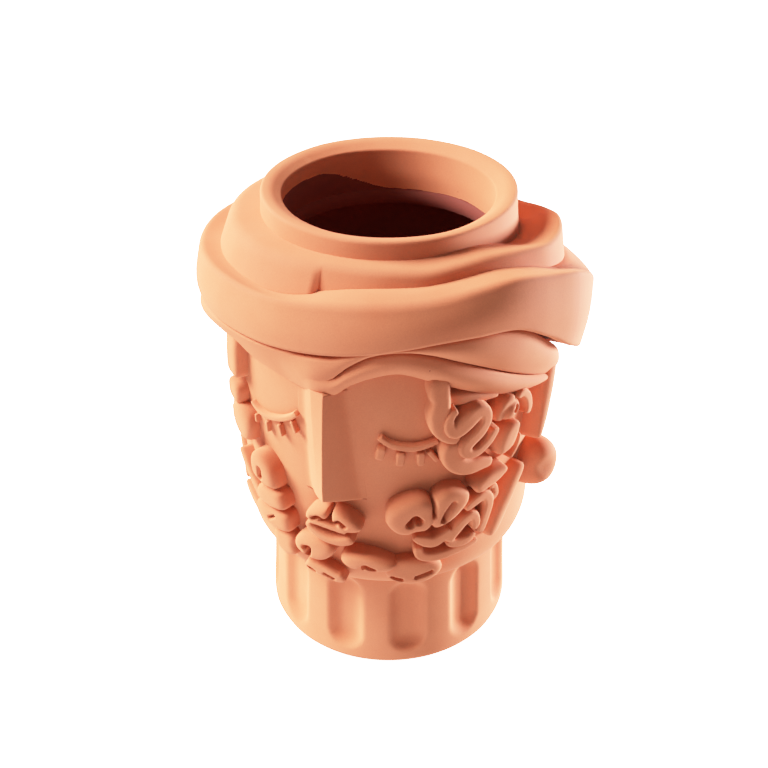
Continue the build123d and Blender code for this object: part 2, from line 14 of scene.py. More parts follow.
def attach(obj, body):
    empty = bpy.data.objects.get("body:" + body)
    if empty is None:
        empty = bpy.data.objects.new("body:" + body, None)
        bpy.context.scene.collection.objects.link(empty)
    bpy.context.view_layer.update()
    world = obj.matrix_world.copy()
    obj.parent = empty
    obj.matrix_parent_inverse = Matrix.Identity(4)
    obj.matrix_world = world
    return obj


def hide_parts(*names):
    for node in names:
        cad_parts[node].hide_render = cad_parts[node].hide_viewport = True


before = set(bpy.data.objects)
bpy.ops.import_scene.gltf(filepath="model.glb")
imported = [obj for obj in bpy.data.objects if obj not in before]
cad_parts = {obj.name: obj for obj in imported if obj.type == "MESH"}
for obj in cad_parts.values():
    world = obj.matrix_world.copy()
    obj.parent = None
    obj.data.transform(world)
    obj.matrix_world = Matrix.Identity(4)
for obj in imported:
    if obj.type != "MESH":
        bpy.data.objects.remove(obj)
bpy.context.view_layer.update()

MM = 0.001
BODY = "root"
LOG = logging.getLogger("face_vase")
# Corners nearer than this are merged
MERGE_MM = 0.01
# Largest share of a side that a rounding takes
LONGEST_CUT = 0.48
# Share of the way round a cut that its arch takes, with the flat root for the rest
ARCH = 0.75

Pair = tuple[float, float]
Corners = Sequence[tuple[float, float, float]]
Rows = Sequence[Sequence[float]]
Placer = Callable[[float, float], Vector]
Mover = Callable[[Vector], Vector]


class Side(Enum):
    """Side of the figure, as the sign of the angle from the nose."""

    LEFT = 1
    RIGHT = -1


class Ends(Enum):
    """How a line through points ends: open, or joined into a loop."""

    OPEN = "open"
    LOOP = "loop"


def deselect() -> None:
    """Leaves edit mode and selects nothing."""
    if bpy.context.object is not None and bpy.context.object.mode != "OBJECT":
        bpy.ops.object.mode_set(mode="OBJECT")
    bpy.ops.object.select_all(action="DESELECT")


def pick(piece: bpy.types.Object) -> None:
    """Makes one object the selected and active one.

    Args:
        piece: The object.
    """
    deselect()
    piece.select_set(True)
    bpy.context.view_layer.objects.active = piece


def around(radius: float, angle: float, height: float) -> Vector:
    """Point in metres from a radius, an angle from the nose in degrees and a height in mm."""
    turn = math.radians(angle)
    return Vector((radius * math.sin(turn), -radius * math.cos(turn), height)) * MM


def soft_plus(value: float, width: float) -> float:
    """Value where it is positive and nearly zero below, rounded over a width."""
    return 0.5 * (value + math.sqrt(value * value + width * width))


def smooth_step(value: float, low: float, high: float) -> float:
    """Share from 0 to 1 between two limits, level at both."""
    share = min(1.0, max(0.0, (value - low) / (high - low)))
    return share * share * (3 - 2 * share)


@dataclass(frozen=True)
class Unevenness:
    """Swells of a surface that was finished by hand: depth and size in mm."""

    depth: float
    size: float
    seed: float = 0.0

    def at(self, spot: Vector) -> float:
        """Swell in mm at a point in metres."""
        return self.depth * noise.noise(spot / (self.size * MM) + Vector((self.seed, self.seed, self.seed)))

    def outwards(self, spot: Vector) -> Vector:
        """Point that the swell has moved away from the upright axis."""
        return spot + Vector((spot.x, spot.y, 0)).normalized() * MM * self.at(spot)


def recalculate(piece: bpy.types.Object) -> None:
    """Merges doubled corners, turns every face outwards and smooths the shading.

    Args:
        piece: The object.
    """
    pick(piece)
    bpy.ops.object.mode_set(mode="EDIT")
    bpy.ops.mesh.select_all(action="SELECT")
    bpy.ops.mesh.remove_doubles(threshold=MERGE_MM * MM)
    bpy.ops.mesh.normals_make_consistent(inside=False)
    bpy.ops.object.mode_set(mode="OBJECT")
    bpy.ops.object.shade_smooth()


def shape(piece: bpy.types.Object, move: Mover) -> None:
    """Moves each corner of a mesh as a modelling tool would.

    Args:
        piece: The object to shape.
        move: Gives a corner's new place from its old one, in metres.
    """
    for corner in piece.data.vertices:
        corner.co = move(corner.co.copy())
    piece.data.update()


def apply_modifier(piece: bpy.types.Object, name: str, kind: str, **settings: Any) -> None:
    """Adds a modifier with its settings and applies it.

    Args:
        piece: The object.
        name: Name of the modifier.
        kind: Its kind.
        settings: Its settings by name.
    """
    pick(piece)
    modifier = piece.modifiers.new(name, kind)
    for key, value in settings.items():
        setattr(modifier, key, value)
    bpy.ops.object.modifier_apply(modifier=modifier.name)


def drawn_piece(name: str, ends: Ends, steps: int, rounds: int, place: Placer) -> bpy.types.Object:
    """Clay drawn out along a line: a closed ring from a torus, or an open roll from a ball, from pole to pole.

    Args:
        name: Name of the object.
        ends: Whether it is open or a loop.
        steps: Corners along the line.
        rounds: Corners round its cut.
        place: Gives a corner from its shares along the line and round the cut.

    Returns:
        The new object.
    """
    deselect()
    if ends is Ends.LOOP:
        bpy.ops.mesh.primitive_torus_add(major_segments=steps, minor_segments=rounds, major_radius=1.0,
                                         minor_radius=0.25)
    else:
        bpy.ops.mesh.primitive_uv_sphere_add(segments=rounds, ring_count=steps, radius=1.0)
    piece = bpy.context.object
    piece.name = name
    for corner in piece.data.vertices:
        x, y, z = corner.co
        turn = math.atan2(y, x) / math.tau % 1.0
        if ends is Ends.LOOP:
            along, about = round(turn * steps) % steps, math.atan2(z, math.hypot(x, y) - 1.0) / math.tau % 1.0
        else:
            along, about = round(math.acos(max(-1.0, min(1.0, z))) / math.pi * steps), turn
        corner.co = place(along / steps, round(about * rounds) % rounds / rounds)
    recalculate(piece)
    return piece


def turned_piece(name: str, profile: Sequence[Pair], steps: int) -> bpy.types.Object:
    """Turned form: the closed half profile is spun round the upright axis.

    Args:
        name: Name of the object.
        profile: Closed line of radius and height in mm.
        steps: Number of steps of the spin.

    Returns:
        The new object.
    """
    deselect()
    bpy.ops.mesh.primitive_circle_add(vertices=len(profile), radius=1.0)
    piece = bpy.context.object
    piece.name = name
    for corner, (radius, height) in zip(piece.data.vertices, profile):
        corner.co = around(radius, 0.0, height)
    bpy.ops.object.mode_set(mode="EDIT")
    bpy.ops.mesh.select_all(action="SELECT")
    bpy.ops.mesh.spin(steps=steps, angle=math.tau, center=(0, 0, 0), axis=(0, 0, 1))
    recalculate(piece)
    return piece


def rounded_line(corners: Corners, bend: int = 8, run: int = 6) -> list[Pair]:
    """Closed line through corners that are each cut back and rounded.

    Args:
        corners: Radius, height and cut-back of each corner in mm.
        bend: Points on each rounding.
        run: Points on each straight.

    Returns:
        The points, as many for any corners.
    """
    count = len(corners)
    ends = []
    for index, (x, y, cut) in enumerate(corners):
        legs = []
        for other in (corners[index - 1], corners[(index + 1) % count]):
            length = math.hypot(other[0] - x, other[1] - y) or 1.0
            share = min(cut / length, LONGEST_CUT)
            legs.append((x + (other[0] - x) * share, y + (other[1] - y) * share))
        ends.append(legs)
    line = []
    for index, (x, y, _) in enumerate(corners):
        (ax, ay), (bx, by) = ends[index]
        for step in range(bend):
            t = step / (bend - 1)
            line.append(((1 - t) ** 2 * ax + 2 * t * (1 - t) * x + t * t * bx,
                         (1 - t) ** 2 * ay + 2 * t * (1 - t) * y + t * t * by))
        cx, cy = ends[(index + 1) % count][0]
        for step in range(1, run + 1):
            t = step / (run + 1)
            line.append((bx + (cx - bx) * t, by + (cy - by) * t))
    return line


def on_line(line: Sequence[Pair], share: float) -> Pair:
    """Point of a closed line at a share of its points."""
    return line[round(share * len(line)) % len(line)]


def between(rows: Rows, angle: float, period: float = 0.0) -> list[float]:
    """Smooth row of numbers at an angle, on a cubic through the neighbouring rows.

    Args:
        rows: Rows that start with their angle, in order.
        angle: Angle wanted.
        period: Angle after which the rows repeat, or 0 where they don't.

    Returns:
        The numbers after the angle.
    """
    table = [list(row) for row in rows]
    if period:
        table = ([[row[0] - period, *row[1:]] for row in rows] + table
                 + [[row[0] + period, *row[1:]] for row in rows])
    index = 0
    while index < len(table) - 2 and table[index + 1][0] < angle:
        index += 1
    start, end = table[index], table[index + 1]
    span = end[0] - start[0]
    share = min(1.0, max(0.0, (angle - start[0]) / span))
    result = []
    for column in range(1, len(start)):
        slopes = []
        for middle in (index, index + 1):
            left, right = table[max(middle - 1, 0)], table[min(middle + 1, len(table) - 1)]
            slopes.append((right[column] - left[column]) / (right[0] - left[0]) * span)
        rise = end[column] - start[column]
        result.append(start[column] + slopes[0] * share + (3 * rise - 2 * slopes[0] - slopes[1]) * share ** 2
                      + (slopes[0] + slopes[1] - 2 * rise) * share ** 3)
    return result


def smooth_path(points: Rows, ends: Ends, share: float) -> list[float]:
    """Point of a smooth line through the given points.

    Args:
        points: Points of the line.
        ends: Whether it is open or a loop.
        share: Place on the line, as a share of its points.

    Returns:
        The point.
    """
    count = len(points)
    spans = count if ends is Ends.LOOP else count - 1
    place = min(share, 1.0) * spans
    index = min(int(place), spans - 1)
    t = place - index

    def at(position: int) -> Sequence[float]:
        """Point by number, going round a loop and stopping at open ends."""
        return points[position % count] if ends is Ends.LOOP else points[min(max(position, 0), count - 1)]

    a, b, c, d = at(index - 1), at(index), at(index + 1), at(index + 2)
    return [0.5 * (2 * b[k] + (c[k] - a[k]) * t + (2 * a[k] - 5 * b[k] + 4 * c[k] - d[k]) * t * t
                   + (3 * b[k] - a[k] - 3 * c[k] + d[k]) * t ** 3) for k in range(len(b))]


def linear(code: str) -> tuple[float, float, float, float]:
    """Linear colour of an sRGB hex code such as #C87A58."""
    values = [int(code[place:place + 2], 16) / 255 for place in (1, 3, 5)]
    return (*(value / 12.92 if value <= 0.04045 else ((value + 0.055) / 1.055) ** 2.4 for value in values), 1.0)


@dataclass(frozen=True)
class Bisque:
    """Unglazed terracotta, slip cast, brushed while damp and fired once.

    The body is a warm red clay, so it looks matt and dusty: soft cloudy patches, a fine grain, brush lines that
    run round the form, a few pinholes, and paler sharp edges, partly wear where the slip was sponged thin and partly
    painted light. Sizes are in mm.
    """

    name: str = "terracotta_bisque"
    clay: str = "#C56E4A"
    deep: str = "#BB623F"
    pale: str = "#CE7F5B"
    pit: str = "#7E3F2B"
    roughness: float = 0.88
    rough_spread: Pair = (-0.06, 0.08)
    diffuse_roughness: float = 0.7
    specular: float = 0.3
    ior: float = 1.5
    patch_mm: float = 34.0
    grain_mm: float = 0.9
    grain_tint: Pair = (0.94, 1.05)
    brush_mm: float = 1.4
    brush_stretch: float = 0.035
    brushed_mm: float = 48.0
    brushed_span: Pair = (0.48, 0.68)
    pit_mm: float = 15.0
    pit_free: float = 0.72
    pit_edge: Pair = (0.034, 0.016)
    edge_light_span: Pair = (0.51, 0.60)
    edge_light_share: float = 0.35
    relief_mm: float = 0.12
    relief_share: float = 0.55
    brush_relief: float = 0.9
    pit_relief: float = -4.0

    def material(self) -> bpy.types.Material:
        """Builds the material's nodes.

        Returns:
            The finished material.
        """
        material = bpy.data.materials.new(self.name)
        material.use_nodes = True
        tree = material.node_tree
        tree.nodes.clear()

        def add(kind: str, settings: dict[str, Any] | None = None, **inputs: Any) -> bpy.types.Node:
            """Adds a node, sets its options and sockets, and links the sockets given as outputs.

            Args:
                kind: Kind of node, without the start that all shader nodes share.
                settings: Options of the node.
                inputs: Sockets by name, or by number after an i.

            Returns:
                The new node.
            """
            node = tree.nodes.new(f"ShaderNode{kind}")
            for key, value in (settings or {}).items():
                setattr(node, key, value)
            for key, value in inputs.items():
                numbered = key[0] == "i" and key[1:].isdigit()
                socket = node.inputs[int(key[1:]) if numbered else key.replace("_", " ")]
                if isinstance(value, bpy.types.NodeSocket):
                    tree.links.new(value, socket)
                else:
                    socket.default_value = value
            return node

        def mix(factor: Any, one: Any, two: Any, blend: str = "MIX") -> bpy.types.NodeSocket:
            """Mix of two colours by a factor."""
            return add("Mix", {"data_type": "RGBA", "blend_type": blend}, Factor=factor, i6=one, i7=two).outputs[2]

        def cloud(where: Any, size: float, detail: float, roughness: float = 0.5) -> bpy.types.NodeSocket:
            """Noise with swells of a size in mm."""
            node = add("TexNoise", Vector=where, Scale=1 / (size * MM), Detail=detail, Roughness=roughness)
            return node.outputs["Fac"]

        def fit(value: Any, span: Pair, to: Pair = (0.0, 1.0)) -> bpy.types.NodeSocket:
            """Value carried over from one span to another."""
            return add("MapRange", Value=value, From_Min=span[0], From_Max=span[1], To_Min=to[0],
                       To_Max=to[1]).outputs["Result"]

        def reckon(operation: str, **values: Any) -> bpy.types.NodeSocket:
            """Result of a sum with two or three values."""
            return add("Math", {"operation": operation}, **values).outputs["Value"]

        spot = add("TexCoord").outputs["Object"]
        # Cloudy patches from uneven firing
        body = mix(cloud(spot, self.patch_mm, 4.0, 0.55), linear(self.deep), linear(self.pale))
        even = mix(0.5, linear(self.clay), body)
        # Grain of the clay, drawn a little coarser than the real 0.3 mm so that it shows
        grain = cloud(spot, self.grain_mm, 3.0, 0.6)
        # Brush lines run round the form, so they are stretched level and fine upright
        level = add("Mapping", Vector=spot, Scale=(self.brush_stretch, self.brush_stretch, 1.0)).outputs["Vector"]
        brushed = fit(cloud(spot, self.brushed_mm, 1.0), self.brushed_span)
        lines = reckon("MULTIPLY", i0=cloud(level, self.brush_mm, 2.0, 0.7), i1=brushed)
        # Pinholes: one small dark dot in some of the cells
        cells = add("TexVoronoi", {"feature": "F1"}, Vector=spot, Scale=1 / (self.pit_mm * MM)).outputs
        chosen = add("SeparateColor", Color=cells["Color"]).outputs[0]
        some = reckon("GREATER_THAN", i0=chosen, i1=self.pit_free)
        pits = reckon("MULTIPLY", i0=some, i1=fit(cells["Distance"], self.pit_edge))
        # Paler sharp edges: partly wear, partly painted light that lifts outward edges against the creases
        rim = fit(add("NewGeometry").outputs["Pointiness"], self.edge_light_span, (0.0, self.edge_light_share))
        edge_light_and_wear = mix(rim, even, linear(self.pale))
        tinted = mix(1.0, edge_light_and_wear, fit(grain, (0.3, 0.7), self.grain_tint), "MULTIPLY")
        dotted = mix(pits, tinted, linear(self.pit))
        rough = fit(grain, (0.0, 1.0), tuple(self.roughness + spread for spread in self.rough_spread))
        height = reckon("MULTIPLY_ADD", i0=lines, i1=self.brush_relief, i2=grain)
        sunk = reckon("MULTIPLY_ADD", i0=pits, i1=self.pit_relief, i2=height)
        relief = add("Bump", Strength=self.relief_share, Distance=self.relief_mm * MM, Height=sunk).outputs["Normal"]
        shader = add("BsdfPrincipled", Base_Color=dotted, Roughness=rough, IOR=self.ior, Normal=relief,
                     Diffuse_Roughness=self.diffuse_roughness, Specular_IOR_Level=self.specular)
        add("OutputMaterial", Surface=shader.outputs["BSDF"])
        return material


@dataclass(frozen=True)
class HeadForm:
    """Outside of the head, in mm, which carries all that is laid on it."""

    joint: float = 80.0
    jaw: float = 102.5
    widest: float = 235.0
    crown: float = 300.0
    neck_radius: float = 84.5
    jaw_radius: float = 99.5
    head_radius: float = 105.0
    crown_radius: float = 84.0
    unrolled_radius: float = 108.0

    def radius(self, z: float) -> float:
        """Radius of the skin: jaw ellipse, swelling cheek, crown ellipse.

        Args:
            z: Height.

        Returns:
            The radius there.
        """
        if z < self.jaw:
            share = max(0.0, (z - self.joint) / (self.jaw - self.joint))
            return self.neck_radius + (self.jaw_radius - self.neck_radius) * math.sqrt(1 - (1 - share) ** 2)
        if z < self.widest:
            return self.jaw_radius + (self.head_radius - self.jaw_radius) * smooth_step(z, self.jaw, self.widest)
        share = min(1.0, (z - self.widest) / (self.crown - self.widest))
        return self.crown_radius + (self.head_radius - self.crown_radius) * math.sqrt(1 - share ** 2)

    def spot(self, u: float, z: float, rise: float) -> Vector:
        """Point above the skin, from the distance along the skin from the nose, the height and the rise."""
        return around(self.radius(z) + rise, math.degrees(u / self.unrolled_radius), z)


HEAD = HeadForm()


@dataclass(frozen=True)
class Strip:
    """Ribbon of clay with round ends, laid on the head, in mm.

    A point of its line has the distance along the skin from the nose, the height and the share of the width, which
    is 1 where it isn't given.
    """

    line: Rows
    width: float = 11.0
    relief: float = 12.0
    fullness: float = 6.0
    root: float = 6.0
    end_power: float = 0.33
    least_half: float = 0.04
    look_ahead: float = 0.01
    samples: int = 200
    step: float = 1.6
    least_steps: int = 16
    steps_per_point: int = 4
    rounds: int = 28

    def cut(self, about: float, half: float, relief: float) -> Pair:
        """Point of the loaf-shaped cut.

        Args:
            about: Share of the way round the cut.
            half: Half its width.
            relief: Its rise over the skin.

        Returns:
            Sideways place and rise.
        """
        if about >= ARCH:
            return (half * (1 - 2 * (about - ARCH) / (1 - ARCH)), -self.root)
        turn = math.pi * about / ARCH
        power = 2 / self.fullness
        side = math.copysign(abs(math.cos(turn)) ** power, math.cos(turn))
        return (-half * side, (relief + self.root) * math.sin(turn) ** power - self.root)

    def at(self, share: float) -> list[float]:
        """Point of the strip's line at a share of it."""
        return smooth_path(self.line, Ends.OPEN, share)

    def build(self, name: str, side: Side) -> bpy.types.Object:
        """Lays the strip on the head.

        Args:
            name: Name of the object.
            side: Side of the figure that it lies on.

        Returns:
            The new object.
        """
        samples = [self.at(step / self.samples) for step in range(self.samples + 1)]
        length = sum(math.dist(one[:2], two[:2]) for one, two in zip(samples, samples[1:]))

        def place(along: float, about: float) -> Vector:
            """Corner of the strip from its shares along it and round its cut."""
            centre = self.at(along)
            ahead, behind = self.at(min(1.0, along + self.look_ahead)), self.at(max(0.0, along - self.look_ahead))
            du, dz = ahead[0] - behind[0], ahead[1] - behind[1]
            size = math.hypot(du, dz) or 1.0
            half = self.width / 2 * (centre[2] if len(centre) > 2 else 1.0)
            bow = min(1.0, max(0.0, min(along, 1 - along) * length / half))
            half *= max(self.least_half, math.sqrt(1 - (1 - bow) ** 2))
            across, rise = self.cut(about, half, self.relief * (1 - (1 - bow) ** 3) ** self.end_power)
            return HEAD.spot(side.value * (centre[0] + across * dz / size), centre[1] - across * du / size, rise)

        steps = max(self.least_steps, int(length / self.step), (len(self.line) - 1) * self.steps_per_point)
        return drawn_piece(name, Ends.OPEN, steps, self.rounds, place)


@dataclass(frozen=True)
class Knob:
    """Pat of clay: middle on the unrolled skin, relief and how full its edge is, in mm.

    It follows an outline or, where it has none, an ellipse of half sizes that leans. A thumb dimple has its place from
    the middle, its reach and its depth.
    """

    middle: Pair
    relief: float = 12.0
    fullness: float = 2.6
    outline: Sequence[Pair] = ()
    half: Pair = (0.0, 0.0)
    lean: float = 0.0
    dimple: tuple[float, float, float, float] = (0.0, 0.0, 1.0, 0.0)
    root: float = 6.0
    steps: int = 40
    rounds: int = 56

    def rim(self, about: float) -> Pair:
        """Edge of the pat, from its middle.

        Args:
            about: Share of the way round.

        Returns:
            The distances along the skin and upwards.
        """
        if self.outline:
            edge = smooth_path(self.outline, Ends.LOOP, about)
            return (edge[0] - self.middle[0], edge[1] - self.middle[1])
        turn = math.tau * about
        return (self.half[0] * math.cos(turn), self.half[1] * math.sin(turn))

    def build(self, name: str, side: Side) -> bpy.types.Object:
        """Presses the pat onto the head.

        Args:
            name: Name of the object.
            side: Side of the figure that it lies on.

        Returns:
            The new object.
        """
        dx, dz, reach, depth = self.dimple
        tilt = math.radians(self.lean)
        power = 2 / self.fullness

        def place(along: float, about: float) -> Vector:
            """Corner of the pat from its shares from top to root and around."""
            fall = math.pi * along
            x, z = (size * math.sin(fall) ** power for size in self.rim(about))
            up = math.copysign(abs(math.cos(fall)) ** power, math.cos(fall))
            rise = self.relief * up if up > 0 else self.root * up
            if up > 0:
                rise -= depth * math.exp(-((x - dx) ** 2 + (z - dz) ** 2) / reach ** 2)
            u = self.middle[0] + x * math.cos(tilt) - z * math.sin(tilt)
            return HEAD.spot(side.value * u, self.middle[1] + x * math.sin(tilt) + z * math.cos(tilt), rise)

        return drawn_piece(name, Ends.OPEN, self.steps, self.rounds, place)


@dataclass(frozen=True)
class Press:
    """Groove or hole pressed with a tool: its line on the unrolled skin, half width and depth in mm.

    The groove is level up to one share of the half width and ends at another.
    """

    line: Sequence[Pair]
    half: float = 1.4
    depth: float = 8.0
    level: float = 0.45
    end: float = 1.5

    def sink(self, u: float, z: float) -> float:
        """Depth of the groove at a spot.

        Args:
            u: Distance along the skin from the nose.
            z: Height.

        Returns:
            The depth.
        """
        near = math.inf
        for (au, az), (bu, bz) in zip(self.line, self.line[1:]):
            du, dz = bu - au, bz - az
            share = min(1.0, max(0.0, ((u - au) * du + (z - az) * dz) / (du * du + dz * dz)))
            near = min(near, math.hypot(u - au - share * du, z - az - share * dz))
        return self.depth * (1 - smooth_step(near, self.level * self.half, self.end * self.half))


@dataclass
class ClayPiece:
    """One luted piece of hair or face, from strips and pats that are pressed into one."""

    node: str
    parts: Sequence[Strip | Knob]
    side: Side = Side.LEFT
    presses: Sequence[Press] = ()
    grid_mm: float = 0.75
    sponge: float = 0.5
    wipe: float = 0.4
    # How far under the skin of the head a tool may reach
    press_limit: float = 1.0
    swell: Unevenness = Unevenness(0.25, 9.0)

    def press(self, spot: Vector) -> Vector:
        """Sinks a corner of the uneven surface where a tool was pressed in, down to just under the skin.

        Args:
            spot: The corner in metres.

        Returns:
            Its new place.
        """
        spot = spot + spot.normalized() * MM * self.swell.at(spot)
        z = spot.z / MM
        radius = math.hypot(spot.x, spot.y) / MM
        if radius <= HEAD.radius(z):
            return spot
        u = self.side.value * math.atan2(spot.x, -spot.y) * HEAD.unrolled_radius
        deep = max((press.sink(u, z) for press in self.presses), default=0.0)
        keep = max(radius - deep, HEAD.radius(z) - self.press_limit) / radius
        return Vector((spot.x * keep, spot.y * keep, spot.z))

    def build(self) -> bpy.types.Object:
        """Lays the parts, presses them together and sponges the edges.

        Returns:
            The finished object.
        """
        made = [part.build(f"{self.node}_{index}", self.side) for index, part in enumerate(self.parts)]
        deselect()
        for one in made:
            one.select_set(True)
        bpy.context.view_layer.objects.active = made[0]
        if len(made) > 1:
            bpy.ops.object.join()
        piece = bpy.context.object
        piece.name = f"clay_{self.node}"
        apply_modifier(piece, "press", "REMESH", mode="VOXEL", voxel_size=self.grid_mm * MM)
        apply_modifier(piece, "sponge", "SMOOTH", factor=self.sponge, iterations=1)
        shape(piece, self.press)
        apply_modifier(piece, "wipe", "SMOOTH", factor=self.wipe, iterations=1)
        pick(piece)
        bpy.ops.object.shade_smooth()
        return piece


def settle(piece: bpy.types.Object, node: str, material: bpy.types.Material) -> None:
    """Dresses a finished piece and puts it in its node's place.

    Args:
        piece: The finished object.
        node: Name of the CAD node that it stands for.
        material: Its finish.
    """
    piece.data.materials.clear()
    piece.data.materials.append(material)
    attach(piece, BODY)
    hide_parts(node)
    LOG.info("%s: %d faces", piece.name, len(piece.data.polygons))


@dataclass
class Vessel:
    """Turned body: fluted neck with its floor, hollow head and mouth collar, in mm."""

    foot_radius: float = 89.6
    foot_round: float = 4.0
    wall: float = 11.0
    floor: float = 12.0
    floor_round: float = 6.0
    edge_round: float = 1.0
    axis_round: float = 0.1
    spin: int = 288
    neck_swell: Unevenness = Unevenness(0.25, 26.0)
    flutes: int = 12
    flute_turn: float = -2.0
    flute_half: float = 13.0
    flute_depth: float = 6.3
    flute_soft: float = 0.6
    flute_low: float = 23.0
    flute_high: float = 62.0
    head_swell: Unevenness = Unevenness(0.3, 45.0)
    jaw_steps: int = 20
    skin_step: float = 2.2
    skin_steps: int = 90
    throat_wall: float = 13.0
    throat_low: float = 286.0
    hollow_top: float = 280.0
    hollow_low: float = 92.0
    hollow_step: float = 4.0
    hollow_steps: int = 45
    collar_low: float = 296.0
    collar_waist: float = 315.0
    collar_radius: float = 80.3
    collar_top: float = 331.5
    collar_spin: int = 240
    lip_swell: Unevenness = Unevenness(0.35, 38.0, 3.0)
    lip_drop: Unevenness = Unevenness(0.35, 60.0, 7.0)
    lip_span: Pair = (312.0, 328.0)
    mouth_radius: float = 66.8
    mouth_low: float = 308.0
    # The painted shade inside ends at a height in the throat, and higher where it climbs at the figure's right, as the
    # lip's shadow does
    shade_edge: float = 297.0
    shade_climb: float = 20.0
    shade_climb_span: Pair = (22.0, 66.0)
    shade_edge_wobble: Unevenness = Unevenness(0.8, 14.0)

    def neck(self) -> bpy.types.Object:
        """Fluted column with its floor.

        Returns:
            The finished object.
        """
        inner = HEAD.neck_radius - self.wall
        line = rounded_line([(0, 0, self.axis_round), (self.foot_radius - 1, 0, self.foot_round),
                             (HEAD.neck_radius, HEAD.joint, self.edge_round), (inner, HEAD.joint, self.edge_round),
                             (inner, self.floor, self.floor_round), (0, self.floor, self.axis_round)], 6, 40)
        piece = turned_piece("clay_neck", line, self.spin)
        pitch = 360 / self.flutes

        def flute(spot: Vector) -> Vector:
            """Presses the flutes into the outside."""
            radius, z = math.hypot(spot.x, spot.y) / MM, spot.z / MM
            if radius < inner + 3:
                return spot
            angle = math.degrees(math.atan2(spot.x, -spot.y))
            off = (angle - self.flute_turn + pitch / 2) % pitch - pitch / 2
            past = max(0.0, self.flute_low - z, z - self.flute_high)
            far = math.hypot(math.radians(off) * radius, past) / self.flute_half
            sink = soft_plus(self.flute_depth * (1 - far ** 3), self.flute_soft) if far < 2 else 0.0
            sink += self.neck_swell.at(spot)
            return Vector((spot.x * (1 - sink / radius), spot.y * (1 - sink / radius), spot.z))

        shape(piece, flute)
        return piece

    def head(self) -> bpy.types.Object:
        """Hollow head from the joint with the neck up to the crown.

        Returns:
            The finished object.
        """
        turns = [math.pi / 2 * step / self.jaw_steps for step in range(self.jaw_steps)]
        heights = [HEAD.joint + (HEAD.jaw - HEAD.joint) * (1 - math.cos(turn)) for turn in turns]
        heights += [HEAD.jaw + self.skin_step * step for step in range(self.skin_steps)]
        hollow = [self.hollow_top - self.hollow_step * step for step in range(self.hollow_steps)]
        throat, neck = HEAD.crown_radius - self.throat_wall, HEAD.neck_radius - self.wall
        line = [(HEAD.radius(z), z) for z in heights] + [(throat, HEAD.crown), (throat, self.throat_low)]
        line += [(HEAD.radius(z) - self.wall, z) for z in hollow] + [(neck, self.hollow_low), (neck, HEAD.joint)]
        piece = turned_piece("clay_head", line, self.spin)
        shape(piece, self.head_swell.outwards)
        return piece

    def collar(self) -> bpy.types.Object:
        """Mouth ring with a sloping lip and a throat that opens into the head.

        Returns:
            The finished object.
        """
        line = rounded_line([(HEAD.crown_radius, self.collar_low, self.edge_round),
                             (self.collar_radius + 0.5, self.collar_waist, 8.0),
                             (self.collar_radius, self.collar_top, 2.4),
                             (self.collar_radius - 6, self.collar_top - 0.3, 3.0),
                             (self.mouth_radius, self.collar_top - 4.6, 1.3),
                             (self.mouth_radius + 1.5, self.mouth_low, 4.0),
                             (HEAD.crown_radius - self.throat_wall, self.collar_low, self.edge_round)], 8, 24)
        piece = turned_piece("clay_collar", line, self.collar_spin)

        def hand(spot: Vector) -> Vector:
            """Unevenness of the sponged lip, which is never higher than the collar."""
            z = spot.z / MM
            drop = abs(self.lip_drop.at(spot)) * smooth_step(z, *self.lip_span)
            moved = self.lip_swell.outwards(spot)
            return Vector((moved.x, moved.y, min(z - drop, self.collar_top) * MM))

        shape(piece, hand)
        return piece

    def paint_shade_inside(self, piece: bpy.types.Object, inside: bpy.types.Material) -> None:
        """Paints shade into the hollow of a turned piece: a dark copy of the clay below an edge that follows the lip's
        shadow.

        Args:
            piece: The turned piece, already settled.
            inside: Painted shade of the hollow, a dark copy of the clay.
        """
        piece.data.materials.append(inside)
        for face in piece.data.polygons:
            spot = face.center
            radius, z = math.hypot(spot.x, spot.y) / MM, spot.z / MM
            # Painted shade: dark below an edge that climbs the way the shadow of the lip does
            climb = self.shade_climb * smooth_step(-spot.x / MM, *self.shade_climb_span)
            edge = self.shade_edge + climb + self.shade_edge_wobble.at(spot)
            if radius < HEAD.radius(z) - 0.6 * self.wall and 0.5 * self.floor < z < edge:
                face.material_index = 1

    def build(self, material: bpy.types.Material, inside: bpy.types.Material) -> None:
        """Builds and settles the three turned pieces.

        Args:
            material: Finish of the outside.
            inside: Painted shade of the hollow, a dark copy of the clay.
        """
        for piece, node in ((self.neck(), "neck_drum"), (self.head(), "head_shell"), (self.collar(), "rim_collar")):
            settle(piece, node, material)
            self.paint_shade_inside(piece, inside)


